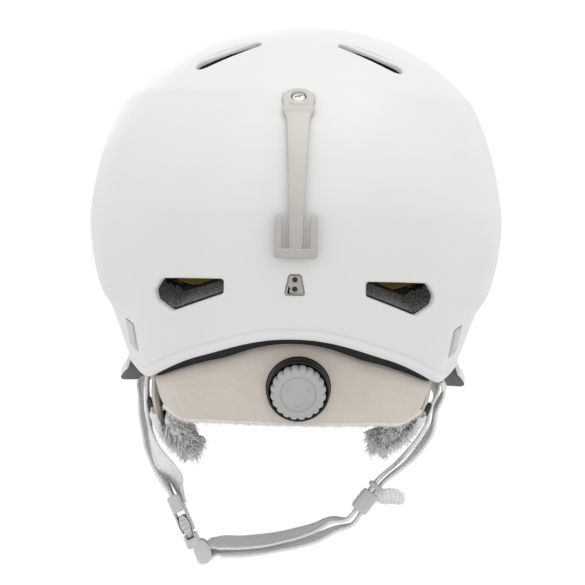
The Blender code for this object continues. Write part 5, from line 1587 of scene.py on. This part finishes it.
def cord_rings(line, radius, segments):
    line = np.asarray(line, float)
    along = np.gradient(line, axis=0)
    along /= np.maximum(np.linalg.norm(along, axis=1, keepdims=True), 1e-9)
    side = np.cross(along[0], (0.31, 0.22, 0.93))
    rings = []
    for p, t in zip(line, along):
        side = side - t * np.dot(side, t)
        side /= max(np.linalg.norm(side), 1e-9)
        up = np.cross(t, side)
        angles = np.linspace(0, 2 * math.pi, segments, endpoint=False)
        rings.append([p + radius * (side * math.cos(a) + up * math.sin(a)) for a in angles])
    return rings


def make_straps():
    strap("strap_web_left_front",
          (ANCHOR_STARTS["front"], (0.0826, -0.0375, -0.0600), (0.0826, -0.0330, -0.0700),
           (0.0785, -0.0240, -0.0900), buckle_point(-0.0080, -0.0006, 0.0014),
           buckle_point(0.0010, 0, 0.0004)),
          (ACROSS, (0.1, 1, 0.2), (0.1, 1, 0.35), (0.3, 1, 0.4), (0.3, 1, 0.1), ACROSS), ROOT,
          ["strap_left_front"], bites=(0.90,))
    strap("strap_web_left_rear",
          (ANCHOR_STARTS["rear"], (0.0762, 0.0310, -0.0640), (0.0748, 0.0240, -0.0800),
           (0.0722, 0.0170, -0.0920), (0.0665, 0.0085, -0.1040),
           buckle_point(-0.0065, 0.0006, -0.0042), buckle_point(0.0060, 0, -0.0043)),
          (ACROSS, (0, 1, -0.3), (0, 1, -0.4), (-0.4, 1, -0.4), (-0.85, 0.75, -0.1), (-0.5, 1, -0.1),
           ACROSS), ROOT, ["strap_left_rear"], bites=(0.88,))
    x, _, z = STRAP_PIVOT
    mirror = {end: (-p[0], p[1], p[2]) for end, p in ANCHOR_STARTS.items()}
    front = strap("strap_web_right_front",
                  (mirror["front"], (-0.0785, -0.0360, -0.0600), (x - 0.0002, -0.0290, z + 0.0026),
                   (x + 0.0010, -0.0275, z - 0.0026), (-0.0690, -0.0200, -0.0870),
                   (-0.0575, -0.0120, -0.1000),
                   keeper_point(0.0016, 0, 0.0140), keeper_point(0.0012, 0, 0.0004)),
                  ((-0.1, 1, 0.2), (-0.1, 1, 0.25), (0, 1, 0.25), (0, 1, 0.25), (0, 1, 0.2), (0, 1, 0.1),
                   ACROSS, ACROSS),
                  None, ["strap_right_front_upper", "strap_right_front_lower"], count=110)
    rear = strap("strap_web_right_rear",
                 (mirror["rear"], (-0.0792, 0.0290, -0.0610), (x - 0.0010, 0.0210, z + 0.0030),
                  (x - 0.0004, 0.0190, z - 0.0032), (-0.0712, 0.0120, -0.0880), (-0.0610, 0.0010, -0.1010),
                  keeper_point(-0.0016, 0, 0.0140), keeper_point(-0.0012, 0, 0.0004)),
                 (ACROSS, (0.1, 1, -0.2), (0, 1, -0.3), (0, 1, -0.3), (0, 1, -0.3), (0, 1, -0.1), ACROSS,
                  ACROSS),
                 None, ["strap_right_rear_upper", "strap_right_rear_lower"], count=110)
    for piece in (front, rear):
        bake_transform(piece)
    lean = (*((0, 1, -tip) for tip in (0.30, 0.40, 0.40, 0.38, 0.3, 0.15)), ACROSS, ACROSS)
    chin = (buckle_point(0.0322, 0, -0.0080), (0.0370, -0.0072, -0.1455), (0.0220, -0.0140, -0.1448),
            (0.0040, -0.0205, -0.1420), (-0.0120, -0.0165, -0.1372), (-0.0220, -0.0120, -0.1325),
            keeper_point(0.0018, 0, -0.0135), keeper_point(0.0012, 0, -0.0004))
    tail = (buckle_point(0.0372, 0, -0.0080), (0.0370, -0.0072, -0.1500), (0.0220, -0.0140, -0.1490),
            (0.0040, -0.0205, -0.1464), (-0.0130, -0.0165, -0.1425), (-0.0250, -0.0120, -0.1372),
            keeper_point(-0.0024, 0, -0.0135), keeper_point(-0.0012, 0, -0.0004))
    fold = [buckle_point(a, 0, t) for a, t in ((0.0336, -0.0040), (0.0348, -0.0010), (0.0354, 0.0006),
                                               (0.0372, 0.0011), (0.0390, 0.0002), (0.0394, -0.0024),
                                               (0.0386, -0.0052))]
    # one strap: up from the keeper, round the adjuster's lower bar and back to the keeper as the spare tail
    strap("chin_web", (*chin[::-1], *fold, *tail), (*lean[::-1], *[ACROSS] * len(fold), *lean), "chin_strap",
          ["chin_strap", "chin_strap_tail"], count=300, slack=0.00008)
    strap("strap_tab", (keeper_point(-0.0022, 0, 0.0040), keeper_point(-0.0032, 0, 0.0066),
                        keeper_point(-0.0060, 0, 0.0078), (-0.0545, -0.0065, -0.1184),
                        (-0.0615, -0.0050, -0.1200)),
          (ACROSS, (0, 1, 0.4), (0, 0.8, 0.6), (0, 0.75, 0.65), (0, 0.75, 0.65)), "chin_strap",
          ["strap_end_tab"], count=50, width=TAB_WIDTH, round_end=True, bites=(0.55,))


# ------------------------------------------------------------------ keeper and buckle
def make_keeper():
    place = keeper_place()
    block = box("keeper_block", (-0.0046, -0.0096, -0.0062), (0.0046, 0.0096, 0.0062), place, [BUCKLE],
                0.0016, 4)
    tools = [box("t_keeper", (-0.0033, -0.0085, -0.012), (0.0033, 0.0085, 0.012), place)]
    for height in (-0.0030, 0.0, 0.0030):
        for side in (-1, 1):
            tools.append(box(f"t_grip_{height}_{side}", (side * 0.0046 - 0.0004, -0.0070, height - 0.0006),
                             (side * 0.0046 + 0.0004, 0.0070, height + 0.0006), place))
    cut(block, tools)
    show(block, "chin_strap", "buckle_grey", "strap_keeper")
    loop = box("keeper_ring", (-0.0043, -0.0095, 0.0087), (0.0043, 0.0095, 0.0113), place, [RUBBER_GREY],
               0.0010, 4)
    cut(loop, [box("t_loop", (-0.0033, -0.0085, 0.005), (0.0033, 0.0085, 0.016), place)])
    show(loop, "chin_strap", "rubber_grey", "keeper_loop")


def oval(name, along, half_along, through, half_through, low, high, place, mats=(), rounded=0.0006,
         segments=48):
    """An oval slab whose thickness runs across the buckle, with rounded rims."""
    rings = []
    for across, share in ((low, -rounded), (low + rounded * 0.3, -rounded * 0.3), (low + rounded, 0.0),
                          (high - rounded, 0.0), (high - rounded * 0.3, -rounded * 0.3), (high, -rounded)):
        rings.append(placed(place, [(along + (half_along + share) * math.cos(a), across,
                                     through + (half_through + share) * math.sin(a))
                                    for a in np.linspace(0, 2 * math.pi, segments, endpoint=False)]))
    return loft(name, rings, mats)


def make_buckle():
    place = buckle_place()
    half_w, half_t = 0.0120, 0.0036
    socket = box("buckle_shell", (0, -half_w, -half_t), (0.0215, half_w, half_t), place, [BUCKLE], 0.0014, 4)
    tools = [box("t_cavity", (0.0095, -0.020, -0.0026), (0.030, 0.020, 0.0026), place),
             box("t_web_slot", (0.0026, -0.0080, -0.0060), (0.0052, 0.0080, 0.0060), place)]
    for side in (-1, 1):
        tools += [oval(f"t_window_{side}", 0.0168, 0.0060, 0.0, 0.0031, side * 0.0130 - 0.0030,
                       side * 0.0130 + 0.0030, place),
                  box(f"t_line_{side}", (0.0068, -0.0105, side * half_t - 0.0003),
                      (0.0074, 0.0105, side * half_t + 0.0003), place)]
    cut(socket, tools)
    show(socket, ROOT, "buckle_grey", "buckle_socket")

    plug = box("buckle_plug_body", (0.0221, -half_w, -half_t), (0.0300, half_w, half_t), place, [BUCKLE],
               0.0013, 4)
    tools = []
    for sign in (1, -1):
        near, far = sorted((sign * 0.0075, sign * 0.0133))
        tools.append(box(f"t_root_{sign}", (0.0, near, -0.0021), (0.0251, far, 0.0021), place))
    cut(plug, tools)
    adds = [box("a_tongue", (0.0115, -0.0055, -0.0018), (0.0241, 0.0055, 0.0018), place, (), 0.0006)]
    for sign in (1, -1):
        low, high = sorted((sign * 0.0088, sign * 0.0112))
        adds.append(oval(f"a_cheek_{sign}", 0.0335, 0.0067, -0.0030, 0.0044, low, high, place, (), 0.0005))
    for label, along, through in (("upper", 0.0300, -0.0010), ("lower", 0.0372, -0.0012)):
        adds.append(box(f"a_bar_{label}", (along - 0.0010, -0.0100, through - 0.0011),
                        (along + 0.0010, 0.0100, through + 0.0011), place, (), 0.0003))
    for piece in adds:
        piece.data.materials.append(BUCKLE)
    cut(plug, adds, union=True)
    show(plug, "chin_strap", "buckle_grey", "buckle_plug")

    for label, sign in (("rear", 1), ("front", -1)):
        outline = ((-0.0110, 0.45), (-0.0098, 0.86), (-0.0080, 1.0), (-0.0055, 1.04), (-0.0030, 0.98),
                   (-0.0008, 0.85), (0.0008, 0.66), (0.0018, 0.5), (0.0018, 0.1), (-0.0010, 0.0),
                   (-0.0060, 0.0), (-0.0100, 0.0))
        ring = [(0.0225 + a, sign * (0.0078 + 0.0041 * w)) for a, w in outline]
        arm = loft(f"buckle_arm_{label}",
                   [placed(place, [(a, w, t) for a, w in ring]) for t in (-0.0018, 0.0018)],
                   [BUCKLE])
        bevel(arm, 0.0004, 2)
        low, high = sorted((sign * 0.0094, sign * 0.0122))
        pad = oval(f"a_pad_{label}", 0.0169, 0.0055, 0.0, 0.0027, low, high, place, [BUCKLE], 0.0008)
        cut(arm, [pad], union=True)
        tools = []
        for k in (-1, 0, 1):
            a = 0.0166 + k * 0.0024
            tools.append(box(f"t_rib_{label}_{k}", (a - 0.0004, sign * 0.0122 - 0.0004, -0.0016),
                             (a + 0.0004, sign * 0.0122 + 0.0004, 0.0016), place))
        cut(arm, tools)
        show(arm, f"prong_{label}", "buckle_grey", f"buckle_prong_{label}")


# ------------------------------------------------------------------ CAD pieces that stay
def finish_kept():
    """Pieces inside or behind others keep their frame shape and get a full material."""
    kept = dict(clip_insert_nut=CHROME, dial_gear=KNOB, dial_screw=CHROME, fit_rack_left=BLACK,
                fit_rack_right=BLACK, rear_cradle=BLACK)
    kept.update({f"slip_anchor_{at}": RUBBER for at in ("front", "left", "rear", "right")})
    for side in ("left", "right"):
        kept.update({f"strap_anchor_{side}_{end}": BLACK for end in ("front", "rear")})
    for name, finish in kept.items():
        for place in NODES[name].material_slots:
            place.material = finish


# ------------------------------------------------------------------ light and camera
WORLD_STRENGTH = 1.04
FLOOR_Z, FLOOR_HALF, FLOOR_TONE = -0.34, 2.7, 0.80
LIGHTS = (("key", (-0.35, 0.45, 2.3), 1.4, 11.0), ("rim", (0.6, -1.9, 1.0), 1.2, 4.0))
PHOTO_FOCAL = 2800 / 585           # focal length as a share of the frame's width
CAMERA_DISTANCE, CAMERA_ELEVATION, CAMERA_ROLL = 1.5, -3.0, 1.2
CAMERA_TARGET = Vector((0.00107, 0, -0.0106))


def set_stage():
    world = bpy.data.worlds.new("studio")
    bpy.context.scene.world = world
    world.use_nodes = True
    back = world.node_tree.nodes["Background"]
    back.inputs["Color"].default_value = (1.0, 1.0, 1.0, 1.0)
    back.inputs["Strength"].default_value = WORLD_STRENGTH
    corners = [(x * FLOOR_HALF, y * FLOOR_HALF, FLOOR_Z) for x, y in ((-1, -1), (1, -1), (1, 1), (-1, 1))]
    tone = moulded("floor_pale", (FLOOR_TONE,) * 3, 0.85, blotch=0.01).material
    new_mesh("floor", corners, [[0, 1, 2, 3]], [tone], fix=False)
    for name, place, size, power in LIGHTS:
        data = bpy.data.lights.new(name, "AREA")
        data.shape = "DISK"
        data.size = size
        data.energy = power
        lamp = bpy.data.objects.new(name, data)
        lamp.location = place
        lamp.rotation_euler = (-Vector(place)).to_track_quat("-Z", "Y").to_euler()
        bpy.context.scene.collection.objects.link(lamp)


def set_camera():
    data = bpy.data.cameras.new("camera")
    data.sensor_width = 36.0
    data.lens = data.sensor_width * PHOTO_FOCAL
    data.clip_end = 50
    camera = bpy.data.objects.new("camera", data)
    bpy.context.scene.collection.objects.link(camera)
    elevation = math.radians(CAMERA_ELEVATION)
    back = Vector((0, math.cos(elevation), math.sin(elevation)))
    turn = (-back).to_track_quat("-Z", "Y").to_matrix().to_4x4()
    place = Matrix.Translation(CAMERA_TARGET + back * CAMERA_DISTANCE)
    camera.matrix_world = place @ turn @ Matrix.Rotation(math.radians(CAMERA_ROLL), 4, "Z")
    bpy.context.scene.camera = camera
    bpy.context.scene.view_settings.view_transform = "Standard"


def main():
    make_shell()
    make_foam()
    make_slip()
    make_brim()
    make_clip()
    make_clip_screw()
    make_plate()
    make_badges()
    make_dial()
    make_neck_roll()
    make_nape_band()
    make_ear_pads()
    make_pads()
    make_straps()
    make_keeper()
    make_buckle()
    finish_kept()
    set_stage()
    set_camera()


main()
